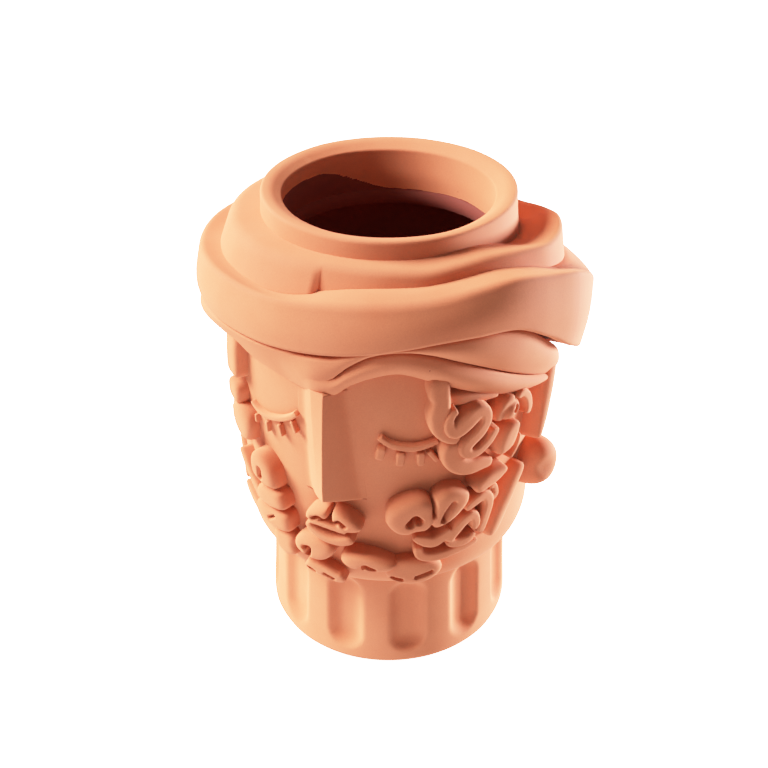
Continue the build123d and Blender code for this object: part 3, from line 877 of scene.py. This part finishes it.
@dataclass
class Turban:
    """Wound turban: main wrap, upper wrap, brow roll and side fold, each with its cuts by angle in mm."""

    inset: float = 92.0
    # Roundness of the upper wrap's ridge at the front and at the back, and the angles between which it changes
    ridge_round: Pair = (4.0, 6.0)
    ridge_span: Pair = (170.0, 260.0)
    half_wall: float = 5.5
    swells: Sequence[Unevenness] = (Unevenness(0.5, 40.0, 11.0), Unevenness(0.4, 32.0, 5.0), Unevenness(0.4, 30.0, 9.0))
    # Angle, then radius and height of hem, belly, edge and ledge, then the height of the shelf
    main: Rows = (
        (-90, 122, 244, 127.0, 262, 121.5, 295, 109.5, 293, 293.5),
        (-71, 121, 257, 126.5, 270, 120.5, 296.5, 109, 295, 295.5),
        (-43, 119, 266, 122.5, 281, 118.5, 302, 108, 299, 299),
        (-18, 116.5, 269, 119, 285, 116, 303.5, 107, 300, 300.5),
        (7, 117, 275, 117.5, 290, 113, 307, 103, 308.5, 307.5),
        (32, 119, 283.5, 119, 296, 113, 309.5, 103.5, 311, 308.5),
        (45, 120, 284, 121, 298, 114.5, 313.5, 105, 313, 310.5),
        (57, 122.5, 282, 124, 297, 118.5, 315, 107.5, 314, 312),
        (69, 125.5, 268, 128, 290, 124, 310, 110, 310, 308),
        (81, 129, 249.5, 132.5, 276, 130, 303, 112, 301, 300),
        (109, 126, 216, 131.5, 242, 132, 270, 112.5, 287, 288),
        (140, 127, 206, 132, 236, 130, 264, 113, 277, 280),
        (170, 124, 204, 129.5, 236, 127, 266, 112, 280, 283),
        (210, 122, 210, 128, 244, 124, 278, 110, 289, 291),
        (245, 122, 228, 127.5, 252, 123, 290, 110.5, 292, 293),
    )
    # Angle, then the radius of the foot, radius and height of the ridge, and the height of the gully by the collar
    upper: Rows = (
        (-6, 96.5, 91, 318.5, 320), (7, 95.5, 91, 318.5, 320), (20, 95, 92, 318.5, 320), (32, 96.5, 94.5, 318, 320),
        (45, 98, 95.5, 320, 320.5), (57, 101, 98, 321, 320.5), (69, 106, 102.5, 319.5, 316), (81, 111, 108, 316.5, 309),
        (109, 112, 108.5, 311, 302), (125, 112.5, 108, 303, 297), (145, 112.5, 107, 294.5, 291.5),
        (175, 111.5, 106, 295, 292), (210, 109.5, 103, 305, 304), (245, 109, 100.5, 313, 313.5),
        (289, 107.5, 99.5, 316.5, 317.5), (317, 106.5, 98, 317, 318.5), (333, 106, 96, 317.5, 319),
        (345, 103.5, 93.5, 318, 319.5), (354, 100.5, 91.5, 318.5, 320),
    )
    # Angle, then radius and height of hem, belly and top
    brow: Rows = (
        (-128, 101, 219, 104, 228, 108, 238), (-112, 103, 213, 118, 231, 119, 243),
        (-97, 104, 216, 127, 234, 124, 248), (-71, 104, 230, 126, 246, 123, 259),
        (-43, 104, 241, 115, 257, 118.5, 266), (-18, 104, 240, 110.5, 255, 115.5, 268.5),
        (-9, 107, 240, 112.5, 253, 114.8, 269), (-4, 110, 240, 114.5, 250, 113.5, 262),
        (2, 110, 243, 115, 251, 113.5, 257.5), (7, 110, 251, 116, 259, 113.5, 265.5),
        (14, 110.5, 258, 116.5, 267, 113.5, 274.5), (22, 110.5, 261, 116.5, 269.5, 113.5, 277.5),
        (31, 110.5, 255, 117, 265, 113.5, 274), (41, 110.5, 245.5, 117, 256, 113.5, 265.5),
        (52, 110, 235.5, 117, 246, 113.5, 254.5), (62, 110, 228, 117, 236.5, 113.5, 243.5),
        (73, 109.5, 221.5, 117, 228, 113.5, 233), (87, 109, 214, 116, 219, 113.5, 223),
    )
    fold: Rows = (
        (-18, 106, 252, 109.5, 258, 114, 267.5), (-9, 110, 247, 113.3, 256, 115.2, 269.3),
        (-4, 112, 247.5, 115.3, 258, 116, 270.5), (2, 113.3, 256.5, 116, 264.5, 116, 272),
        (7, 113.5, 266, 116.5, 271, 116, 275.5), (14, 113.5, 275, 116.5, 277.5, 115.5, 279.5),
        (22, 113.5, 278, 117, 280, 116, 281.5), (31, 113.5, 274.5, 118.5, 279.5, 117, 283.5),
        (41, 113.5, 266, 120, 276, 117.5, 284), (52, 113.5, 255, 121, 269, 118.5, 283),
        (62, 113.5, 244, 121.5, 261, 119.5, 277), (72, 113.5, 233.5, 121, 249, 119.5, 262),
        (82, 113.5, 224, 119.5, 235, 118, 246), (93, 113, 215, 115.5, 221, 115, 226),
    )

    def seat(self, z: float) -> float:
        """Radius halfway through the wall of the head, where the inner side of a band ends unseen."""
        return HEAD.radius(z) - self.half_wall

    def main_row(self, angle: float) -> list[float]:
        """Row of the main wrap at any angle."""
        return between(self.main, (angle + 90) % 360 - 90, 360)

    def top_of_main(self, angle: float, radius: float) -> float:
        """Height of the main wrap's upper side, from the shelf over the ledge to the edge.

        Args:
            angle: Angle from the nose.
            radius: Distance from the axis.

        Returns:
            The height there.
        """
        _, _, _, _, er, ez, lr, lz, shelf = self.main_row(angle)
        if radius < lr:
            return shelf + (lz - shelf) * (radius - self.inset) / (lr - self.inset)
        return lz + (ez - lz) * (radius - lr) / (er - lr)

    def main_cut(self, angle: float) -> Corners:
        """Cut of the broad band that sits high over the brow and sinks to the left ear and the back.

        Args:
            angle: Angle from the nose.

        Returns:
            Radius, height and rounding of its corners.
        """
        hr, hz, br, bz, er, ez, lr, lz, shelf = self.main_row(angle)
        return [(self.seat(hz + 3), hz + 3, 0.5), (hr, hz, 3.5), (br, bz, 30), (er, ez, 4), (lr, lz, 4),
                (self.seat(shelf), shelf, 1), (self.seat(shelf - 24), shelf - 24, 1)]

    def upper_cut(self, angle: float) -> Corners:
        """Cut of the narrow band round the collar, whose end laps over its start at the front.

        Args:
            angle: Angle from the nose.

        Returns:
            Radius, height and rounding of its corners.
        """
        fr, rr, rz, gully = between(self.upper, angle)
        shelf = self.top_of_main(angle, self.inset)
        front, back = self.ridge_round
        soft = front + (back - front) * smooth_step(angle, *self.ridge_span)
        return [(fr, self.top_of_main(angle, fr) - 0.3, 1), (rr, rz, soft), (self.seat(gully), gully, 1),
                (self.seat(shelf - 6), shelf - 6, 1), (self.inset, shelf - 2, 1)]

    def roll_cut(self, rows: Rows, angle: float) -> Corners:
        """Cut of a fold under the main wrap.

        Args:
            rows: Its cuts by angle.
            angle: Angle from the nose.

        Returns:
            Radius, height and rounding of its corners.
        """
        hr, hz, br, bz, tr, tz = between(rows, angle)
        return [(self.seat(hz + 2), hz + 2, 0.5), (hr, hz, 2.5), (br, bz, 30), (tr, tz, 2.5), (self.seat(tz), tz, 0.5)]

    def band(self, name: str, ends: Ends, grid: tuple[int, int], turn: Pair, swell: Unevenness,
             cut: Callable[[float], Corners]) -> bpy.types.Object:
        """Band of cloth: a closed ring, or a roll that ends in the wall of the head.

        Args:
            name: Name of the object.
            ends: Whether it is a roll or a ring.
            grid: Corners along the band and round its cut.
            turn: Angle of its start, and the angle from there to its end.
            swell: Unevenness of its surface.
            cut: Gives its cut at an angle.

        Returns:
            The finished object.
        """
        lines: dict[float, list[Pair]] = {}

        def place(along: float, about: float) -> Vector:
            """Corner of the band from its shares along it and round its cut."""
            angle = turn[0] + turn[1] * along
            if along not in lines:
                lines[along] = rounded_line(cut(angle))
            radius, z = on_line(lines[along], about)
            if ends is Ends.OPEN and along in (0.0, 1.0):
                z = (lines[along][0][1] + lines[along][-1][1]) / 2
                radius = self.seat(z)
            return swell.outwards(around(radius, angle, z))

        return drawn_piece(name, ends, *grid, place)

    def build(self, material: bpy.types.Material) -> None:
        """Builds and settles the four bands of cloth.

        Args:
            material: Their finish.
        """
        main, upper, fold = self.swells
        settle(self.band("clay_main_wrap", Ends.LOOP, (360, 98), (180, 360), main, self.main_cut),
               "turban_main_wrap", material)
        settle(self.band("clay_upper_wrap", Ends.LOOP, (360, 70), (-6, 359.9), upper, self.upper_cut),
               "turban_upper_wrap", material)
        for name, node, rows in (("clay_brow_roll", "turban_brow_roll", self.brow),
                                 ("clay_side_fold", "turban_side_fold", self.fold)):
            turn = (rows[0][0], rows[-1][0] - rows[0][0])
            settle(self.band(name, Ends.OPEN, (200, 70), turn, fold, partial(self.roll_cut, rows)), node, material)


@dataclass
class Nose:
    """Straight wedge nose that grows out of the brow, with a narrow turned front and an underside that slopes back.

    The feet, the front's edges and the rise are given for the brow and for the tip, in mm. The front's left edge
    stands lower than its right one by the knee's share.
    """

    top: float = 246.0
    tip: float = 160.0
    slope: float = 0.47
    rises: Pair = (11.0, 20.0)
    left_feet: Pair = (-19.0, -19.0)
    front_left: Pair = (-10.5, -6.7)
    front_right: Pair = (-1.2, -1.6)
    right_feet: Pair = (8.0, 16.5)
    knee: float = 0.68
    root: float = 6.0
    soft: float = 2.2
    sunk: float = 0.3
    # Reach of the mesh past the feet, and of the part of it that shows, with the depth at which the rest lies
    margin: float = 6.0
    feather: float = 5.0
    under: float = 0.6
    # Both ends close at a share of the rise, the lower one this far above the tip
    end_share: float = 0.3
    end_lift: float = 3.0

    def build(self, material: bpy.types.Material) -> None:
        """Builds and settles the nose.

        Args:
            material: Its finish.
        """

        def place(along: float, about: float) -> Vector:
            """Corner of the nose from its shares from brow to tip and round its cut."""
            rise, left, near, far, right = (low + (high - low) * along for low, high in (
                self.rises, self.left_feet, self.front_left, self.front_right, self.right_feet))
            if along in (0.0, 1.0):
                end = self.top if along == 0.0 else self.tip + self.end_lift
                return HEAD.spot((near + far) / 2, end, rise * self.end_share)
            span = right - left + 2 * self.margin
            if about >= ARCH:
                u = right + self.margin - span * (about - ARCH) / (1 - ARCH)
                lift = -self.root
            else:
                u = left - self.margin + span * about / ARCH
                climb = min(self.knee * (u - left) / (near - left), (right - u) / (right - far),
                            1 + (1 - self.knee) * (u - far) / (far - near))
                shows = left - self.feather < u < right + self.feather
                lift = soft_plus(rise * climb, self.soft) - self.sunk if shows else -self.under
            end = self.tip + self.slope * max(lift, 0.0)
            return HEAD.spot(u, self.top + (end - self.top) * along, lift)

        settle(drawn_piece("clay_nose", Ends.OPEN, 90, 160, place), "nose", material)


def lash(top: Pair, end: Pair, width: float, relief: float) -> Strip:
    """Eyelash, which is seated less deep than the hair."""
    return Strip([top, end], width, relief, root=3.0)


HAIR: Sequence[ClayPiece] = (
    ClayPiece("temple_lock_left", [
        Strip([(64.3, 260, 1), (64.5, 248, 0.96), (65.4, 242, 0.86), (65, 232, 1.04), (67, 222.7, 1.08),
               (72, 215.6, 0.92), (78.5, 212.5, 0.75)], 14, 11),
        Strip([(69, 239, 0.9), (75.6, 238.4, 1), (84.6, 237.4, 0.93), (96.3, 235, 0.8), (106, 233, 0.5)], 11, 6.5,
              fullness=3)]),
    ClayPiece("scroll_curl_left", [
        Strip([(74.5, 235.6, 0.42), (72.3, 234.2, 0.46), (69.8, 229.8, 0.55), (70, 223.9, 0.7),
               (73.8, 219, 0.9), (79.7, 223.8, 1.15), (86, 229.4, 1.12), (91.3, 229.4, 0.85), (93.2, 222.7, 0.75),
               (89.6, 215.5, 0.88), (84.4, 210.7, 0.92), (80.5, 205.8, 0.88), (82.4, 200.4, 0.78), (88.4, 200, 0.74),
               (94.8, 204.6, 0.68), (99.2, 210.9, 0.62), (100.3, 214, 0.5)], 11.4, 13)], grid_mm=0.7),
    ClayPiece("crescent_lock_left", [
        Strip([(73.4, 211, 0.9), (73.3, 201.3, 1.04), (77, 192.3, 1.04), (84.7, 187.3, 0.98), (93.6, 186.8, 0.82),
               (102, 185.4, 0.46)], 14, 11)]),
    ClayPiece("upper_knob_left", [
        Strip([(117, 229, 0.58), (109.7, 225.5, 1), (104.7, 219.2, 1.08), (102.4, 215.4, 0.75)], 12, 10.5, fullness=3),
        Knob((113, 220), 13, half=(8.8, 6.6), lean=34)], presses=[Press([(114, 220.3), (115.6, 222.6)], 1.1, 4)]),
    ClayPiece("side_strand_left", [
        Strip([(117.8, 226, 0.71), (121.7, 228.8, 0.86), (127.5, 223.3, 1), (130.2, 214, 1), (128, 208.7, 0.86)],
              7, 11)]),
    ClayPiece("ear_lock_left", [
        Strip([(156, 236, 0.9), (154.5, 216, 1), (151, 194, 0.9), (146, 178, 0.6)], 20, 13, fullness=2.3)]),
    ClayPiece("lower_knob_left", [
        Strip([(120.2, 209, 0.35), (114.7, 204.4, 0.95), (111, 195.5, 1.05), (108, 186.7, 0.65)], 20, 13, fullness=3.2),
        Strip([(128, 193, 0.8), (126, 183, 1), (120, 176, 0.8)], 7, 8, fullness=2.6)],
        presses=[Press([(108, 187.3), (111.9, 189.3), (114.7, 190.7)], 1.1, 4)]),
)

LEFT_BEARD: Sequence[ClayPiece] = (
    ClayPiece("cheek_curl_left", [
        Knob((49, 155), 14, 5.6, [
            (33.3, 153), (35.5, 162), (43, 167.5), (53, 170), (60, 167.5), (63, 163), (64, 157), (64.2, 149.5),
            (59.8, 142.7), (52.8, 142), (47.2, 139.9), (40.7, 141.3), (35.6, 147)]),
        Knob((74, 159), 13.5, 5.6, [
            (63.5, 168), (70, 173.2), (79, 172.4), (85.6, 168.6), (86.6, 162.5), (84, 156.8), (77.3, 149), (70, 144),
            (63.6, 143), (62.8, 150), (63, 160)])],
        presses=[Press([(48.5, 150.6), (51.6, 155.2), (53.8, 152.8)], 2.1, 12),
                 Press([(69.5, 149.5), (71.8, 156.8), (75, 162.5)], 1.7, 11),
                 Press([(62, 171), (63.4, 163), (63.6, 154)], 1.1, 9)]),
    ClayPiece("jaw_curl_left", [
        Strip([(50.6, 137.4, 0.42), (56.5, 133.4, 0.95), (64, 130.5, 1.11), (70.4, 133.8, 0.9), (76, 139.6, 0.53)],
              9.5, 11.5),
        Strip([(73.6, 127.2, 0.67), (78, 135, 1), (84.6, 142.6, 1.06), (91, 144.8, 0.9), (93.7, 136.8, 0.78),
               (91.6, 132, 0.44)], 9, 11.5),
        Strip([(93.6, 129.3, 0.44), (88.3, 124.7, 0.9), (80, 124.3, 0.9), (73.6, 127.2, 0.67)], 9, 11)]),
    ClayPiece("jaw_band_left", [
        Strip([(84, 151, 0.71), (91.2, 156, 1.06), (99, 158, 1.06), (103, 150.3, 1), (101.4, 140.5, 1),
               (99, 131.7, 0.94), (97, 126.4, 0.82)], 8.5, 11),
        Strip([(102, 162.4, 0.8), (106.6, 161.8, 1), (108.7, 154, 1), (105.5, 151, 0.8)], 5, 10)]),
    ClayPiece("side_lock_left", [
        Strip([(137, 164, 0.7), (129, 152, 0.95), (121, 138, 1), (114, 125, 1), (108, 115, 0.85)], 22, 9.5,
              fullness=2.1)]),
    ClayPiece("side_curl_left", [
        Strip([(115, 174.8, 0.43), (106.8, 172, 1), (96.7, 168.7, 1.07), (90, 165, 0.86)], 14, 12, fullness=3.6)]),
    ClayPiece("jaw_ribbon_left", [
        Strip([(54.7, 127.3, 0.59), (55.8, 120, 0.94), (60.5, 116.7, 1), (69.2, 115.8, 1), (80, 117.5, 0.94),
               (90.7, 119.3, 0.76), (97, 120.3, 0.47)], 8.5, 10)]),
    ClayPiece("chin_ribbon_left", [
        Knob((52, 103), 9.5, 5.0, [
            (32.5, 104), (37, 97), (48, 92), (60, 92.5), (69, 98), (72.5, 105), (66, 111), (54, 114.5), (42, 114),
            (35, 110)])],
        presses=[Press([(38, 100.5), (44, 98.4)], 1.2, 7), Press([(54, 99.6), (64, 103)], 1.2, 7)]),
    ClayPiece("ear_left", [Knob((157, 152), 22.5, 2.4, half=(15.5, 20), lean=8, dimple=(-8, 3, 8, 5))]),
)

RIGHT_BEARD: Sequence[ClayPiece] = (
    ClayPiece("cheek_curl_right", [
        Knob((53, 165), 12.5, 4.6, [
            (41, 156), (43, 168), (49.5, 176), (56, 178.5), (63, 175), (66, 166), (64, 157), (55, 153.2), (46, 153.2)]),
        Knob((47, 145), 12.5, 4.6, [
            (35.5, 146), (38.5, 152), (45, 153.4), (55, 152.4), (62, 147), (62, 139), (52, 136.8), (42, 137.6),
            (35.2, 140.5)])],
        Side.RIGHT, [Press([(53.5, 167), (54, 160)], 1.6, 9), Press([(38, 153.3), (56, 152.6)], 0.8, 2.5)]),
    ClayPiece("jaw_curl_right", [
        Knob((44, 128), 12, 4.6, [
            (32.5, 127), (34, 135), (41, 137), (52, 136.4), (63, 135), (68, 128), (60, 121), (44, 119.6),
            (34, 121.5)])],
        Side.RIGHT, [Press([(45, 131), (50, 127)], 1.1, 3)]),
    ClayPiece("jaw_band_right", [
        Strip([(88, 162, 0.8), (83, 156, 1), (75, 147, 1), (67, 138.5, 1), (63, 133, 0.8)], 9, 8.5)], Side.RIGHT),
    ClayPiece("side_lock_right", [
        Strip([(134, 168, 1.1), (126, 149, 1.1), (117, 132, 1), (110, 117, 0.9)], 17, 4)], Side.RIGHT),
    ClayPiece("side_curl_right", [
        Strip([(85, 175, 0.9), (96, 177, 1), (107, 177, 1), (115, 173.5, 0.75)], 12, 6)], Side.RIGHT),
    ClayPiece("jaw_ribbon_right", [
        Strip([(56, 116, 0.8), (64, 115.5, 1), (76, 118, 1), (87, 121.5, 1), (97, 125, 0.8)], 8.5, 6)], Side.RIGHT),
    ClayPiece("chin_ribbon_right", [
        Knob((40, 109), 9.5, 4.0, [
            (32, 116), (36, 120), (44, 118.6), (52, 113), (50, 103), (40, 97.5), (31, 101.5), (32, 109)])], Side.RIGHT),
    ClayPiece("ear_right", [Knob((157, 152), 16, 2.4, half=(15.5, 20), lean=8, dimple=(-8, 3, 8, 5))], Side.RIGHT),
)

MOUTH: Sequence[ClayPiece] = (
    ClayPiece("upper_lip", [
        Knob((-10, 149.5), 13.5, 4.6, [
            (-18, 145), (-17.5, 150), (-13, 153.5), (-7, 155.5), (-2.2, 155), (-2, 149.5), (-9.5, 146)]),
        Knob((8.5, 148), 13.5, 4.6, [
            (-0.6, 149.5), (0, 154.5), (5, 156), (12, 153), (18, 147.5), (19.5, 143), (15.5, 140.3), (7, 140),
            (1, 146)]),
        Strip([(-16, 143.5, 0.8), (-7, 143.5, 1), (2, 142.2, 1), (10, 140.5, 1)], 4.6, 13)],
        presses=[Press([(-1.2, 158), (-1.2, 148)], 1.3, 11), Press([(-12, 147.4), (-8, 149.4), (-5.5, 147.8)], 1.2, 9),
                 Press([(2.5, 146.6), (5, 149), (8.4, 146)], 1.2, 9)]),
    ClayPiece("lower_lip", [
        Strip([(-16.8, 142, 0.7), (-14, 137, 0.9), (-7, 132.4, 1), (0, 130.7, 1), (7, 131.8, 1.3),
               (14, 135.5, 1.2)], 6.4, 13)]),
    ClayPiece("chin_curl_middle", [
        Knob((21, 115), 13.5, 4.6, [
            (3.5, 115.5), (6.5, 120), (14.2, 122.4), (26, 120.6), (36.5, 116), (41, 112), (36.4, 108), (25, 107.6),
            (16.6, 108), (10, 109), (5.6, 111.5)])],
        presses=[Press([(15.8, 109), (20.5, 113.4), (26.5, 110.5)], 1.2, 9)]),
    ClayPiece("chin_curl_right", [
        Knob((-14, 118), 13, 4.8, [
            (-29.5, 115), (-28.5, 122), (-22, 127.5), (-12, 129), (-2.5, 125.5), (0.5, 119.8), (-2.5, 113.6),
            (-8.9, 109), (-17.3, 108.6), (-25, 110.6)]),
        Strip([(-23, 102, 0.8), (-16, 99, 1), (-8, 97.5, 1.05), (0, 94.5, 1), (6, 96, 0.8)], 12, 10)],
        presses=[Press([(-20, 117.6), (-17.2, 118.4), (-18.2, 112.5)], 1.7, 11),
                 Press([(-20, 97.6), (-15.6, 96)], 1.1, 7), Press([(-8, 96.5), (-2, 93.4)], 1.0, 7)]),
)

LEFT_EYE: Sequence[ClayPiece] = (
    ClayPiece("eyelid_left", [
        Strip([(29.5, 215, 0.9), (35, 209.8, 1), (43, 206.4, 1.1), (52, 205.4, 1.1), (60, 206.8, 1),
               (67, 209.4, 0.8)], 4.4, 4.2, root=3.0)], grid_mm=0.5),
    ClayPiece("eyelashes_left", [
        lash((31.8, 207.5), (29.6, 197.6), 6.2, 5.4), lash((43.4, 203.5), (42.2, 192.8), 6.0, 5.4),
        lash((55.4, 202.5), (55.6, 191.8), 5.4, 5.4), lash((60, 202.5), (66.4, 193.4), 3.6, 4.6)],
        grid_mm=0.45),
)

RIGHT_EYE: Sequence[ClayPiece] = (
    ClayPiece("eyelid_right", [
        Strip([(24, 221, 1), (29, 216, 1), (39, 210.3, 1), (50.4, 206.9, 1), (59.3, 206.8, 0.9),
               (67.7, 210.2, 0.7)], 4.0, 3.6, root=3.0)], Side.RIGHT, grid_mm=0.5),
    ClayPiece("eyelashes_right", [
        lash((28.5, 213.6), (25.4, 205), 2.6, 3.8), lash((39.6, 206.4), (37.5, 197.3), 2.6, 3.8),
        lash((51.2, 203), (51, 194.5), 2.6, 3.8), lash((63.2, 202), (63.4, 195.5), 2.4, 3.6)],
        Side.RIGHT, grid_mm=0.45),
)

RIGHT_HAIR: Sequence[ClayPiece] = (
    ClayPiece("temple_lock_upper_right", [Strip([(79, 258), (80, 240), (81, 223)], 17, 9)], Side.RIGHT),
    ClayPiece("temple_lock_lower_right", [Strip([(82, 220), (83, 211), (84, 201)], 17, 9)], Side.RIGHT),
    ClayPiece("cheek_lobe_right", [
        Knob((76, 190), 10, 4.0, [
            (64, 190), (66, 199), (74, 204), (84, 203), (90, 194), (88, 182), (78, 176), (68, 179)])], Side.RIGHT),
)


@dataclass(frozen=True)
class Paper:
    """White studio paper that glows, so that it shows as plain white."""

    name: str = "white_studio_paper"
    colour: str = "#F8F6F4"
    roughness: float = 0.9
    glow: float = 2.6

    def material(self) -> bpy.types.Material:
        """Builds the paper's material.

        Returns:
            The finished material.
        """
        material = bpy.data.materials.new(self.name)
        material.use_nodes = True
        inputs = material.node_tree.nodes["Principled BSDF"].inputs
        inputs["Base Color"].default_value = linear(self.colour)
        inputs["Roughness"].default_value = self.roughness
        inputs["Emission Color"].default_value = (1.0, 1.0, 1.0, 1.0)
        inputs["Emission Strength"].default_value = self.glow
        return material


@dataclass(frozen=True)
class SoftBox:
    """Square soft light: angle from the camera in degrees, height, distance and size in metres, power in watts."""

    name: str
    angle: float
    height: float
    away: float
    size: float
    power: float
    aim: float = 0.18

    def build(self, azimuth: float) -> None:
        """Hangs the light so that it looks at the middle of the vase.

        Args:
            azimuth: Angle of the camera from the nose.
        """
        data = bpy.data.lights.new(self.name, "AREA")
        data.shape = "SQUARE"
        data.size = self.size
        data.energy = self.power
        lamp = bpy.data.objects.new(self.name, data)
        bpy.context.collection.objects.link(lamp)
        turn = math.radians(self.angle + azimuth)
        place = Vector((self.away * math.sin(turn), -self.away * math.cos(turn), self.height))
        lamp.location = place
        lamp.rotation_euler = (Vector((0, 0, self.aim)) - place).to_track_quat("-Z", "Y").to_euler()


@dataclass
class Studio:
    """White paper, three soft lights, a dim room and the camera at the photograph's place."""

    azimuth: float = 19.0
    distance: float = 0.665
    height: float = 0.625
    pitch: float = 33.7
    lens: float = 53.9
    sensor: float = 36.0
    shift: float = -5 / 768
    floor_size: float = 12.0
    # Large light from the viewer's left, small one from the right, and what the table throws up at the neck
    lights: Sequence[SoftBox] = (SoftBox("key", -93, 1.4, 1.45, 0.9, 198), SoftBox("side", 108, 0.17, 1.5, 0.3, 165),
                                 SoftBox("table", -28, -0.25, 0.45, 0.6, 6.8))
    table_light: float = 1.08
    ceiling_light: float = 0.24
    skyline: float = 0.35
    white_point: float = 3.2
    # Scene brightness and how bright it shows, between black and the white point
    shoulder: Sequence[Pair] = ((0.1, 0.1), (0.3, 0.29), (0.59, 0.53), (1.0, 0.75), (1.5, 0.88), (2.05, 0.947),
                                (2.6, 0.985))

    def floor(self) -> None:
        """Plain white floor that ends far out of sight."""
        deselect()
        bpy.ops.mesh.primitive_plane_add(size=self.floor_size, location=(0, 0, 0))
        floor = bpy.context.object
        floor.name = "floor"
        floor.data.materials.append(Paper().material())
        # The paper is brighter than the clay could stand, so it lights nothing and only takes the shadow
        floor.visible_diffuse = False
        floor.visible_glossy = False
        floor.visible_shadow = False

    def room(self) -> bpy.types.World:
        """White table below a dim ceiling, so that little light falls straight into the mouth.

        Returns:
            The world.
        """
        world = bpy.data.worlds.new("studio")
        world.use_nodes = True
        tree = world.node_tree
        up = tree.nodes.new("ShaderNodeSeparateXYZ")
        fall = tree.nodes.new("ShaderNodeMapRange")
        tree.links.new(tree.nodes.new("ShaderNodeTexCoord").outputs["Generated"], up.inputs["Vector"])
        tree.links.new(up.outputs["Z"], fall.inputs["Value"])
        for key, value in (("From Min", -self.skyline), ("From Max", self.skyline), ("To Min", self.table_light),
                           ("To Max", self.ceiling_light)):
            fall.inputs[key].default_value = value
        tree.links.new(fall.outputs["Result"], tree.nodes["Background"].inputs["Strength"])
        tree.nodes["Background"].inputs["Color"].default_value = (1.0, 1.0, 1.0, 1.0)
        return world

    def film(self, view: bpy.types.ColorManagedViewSettings) -> None:
        """Sets a plain view with a soft shoulder, so that bright clay pales instead of clipping.

        Args:
            view: View settings of the scene.
        """
        view.view_transform = "Standard"
        view.use_curve_mapping = True
        mapping = view.curve_mapping
        mapping.white_level = (self.white_point, self.white_point, self.white_point)
        combined = mapping.curves[3]
        for light, shown in self.shoulder:
            combined.points.new(light / self.white_point, shown)
        mapping.update()

    def camera(self) -> bpy.types.Object:
        """Camera at the photograph's place.

        Returns:
            The camera.
        """
        data = bpy.data.cameras.new("camera")
        data.sensor_width = self.sensor
        data.lens = self.lens
        data.shift_x = self.shift
        camera = bpy.data.objects.new("camera", data)
        bpy.context.collection.objects.link(camera)
        turn = math.radians(self.azimuth)
        camera.location = (self.distance * math.sin(turn), -self.distance * math.cos(turn), self.height)
        camera.rotation_euler = (math.radians(90 - self.pitch), 0, turn)
        return camera

    def build(self) -> None:
        """Sets floor, lights, world, film and camera."""
        self.floor()
        for light in self.lights:
            light.build(self.azimuth)
        scene = bpy.context.scene
        scene.world = self.room()
        self.film(scene.view_settings)
        scene.camera = self.camera()


def main() -> None:
    """Builds the vase piece by piece, then the studio."""
    logging.basicConfig(level=logging.INFO, format="%(message)s")
    bisque = Bisque().material()
    # Painted shade for the hollow: a darker copy of the clay where the inside lies in shadow
    inside = Bisque("terracotta_painted_shade_inside", "#6E2E23", "#642A1F", "#783428").material()
    Vessel().build(bisque, inside)
    Turban().build(bisque)
    Nose().build(bisque)
    for piece in (*HAIR, *LEFT_BEARD, *RIGHT_BEARD, *MOUTH, *LEFT_EYE, *RIGHT_EYE, *RIGHT_HAIR):
        settle(piece.build(), piece.node, bisque)
    Studio().build()
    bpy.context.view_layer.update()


if __name__ == "__main__":
    main()
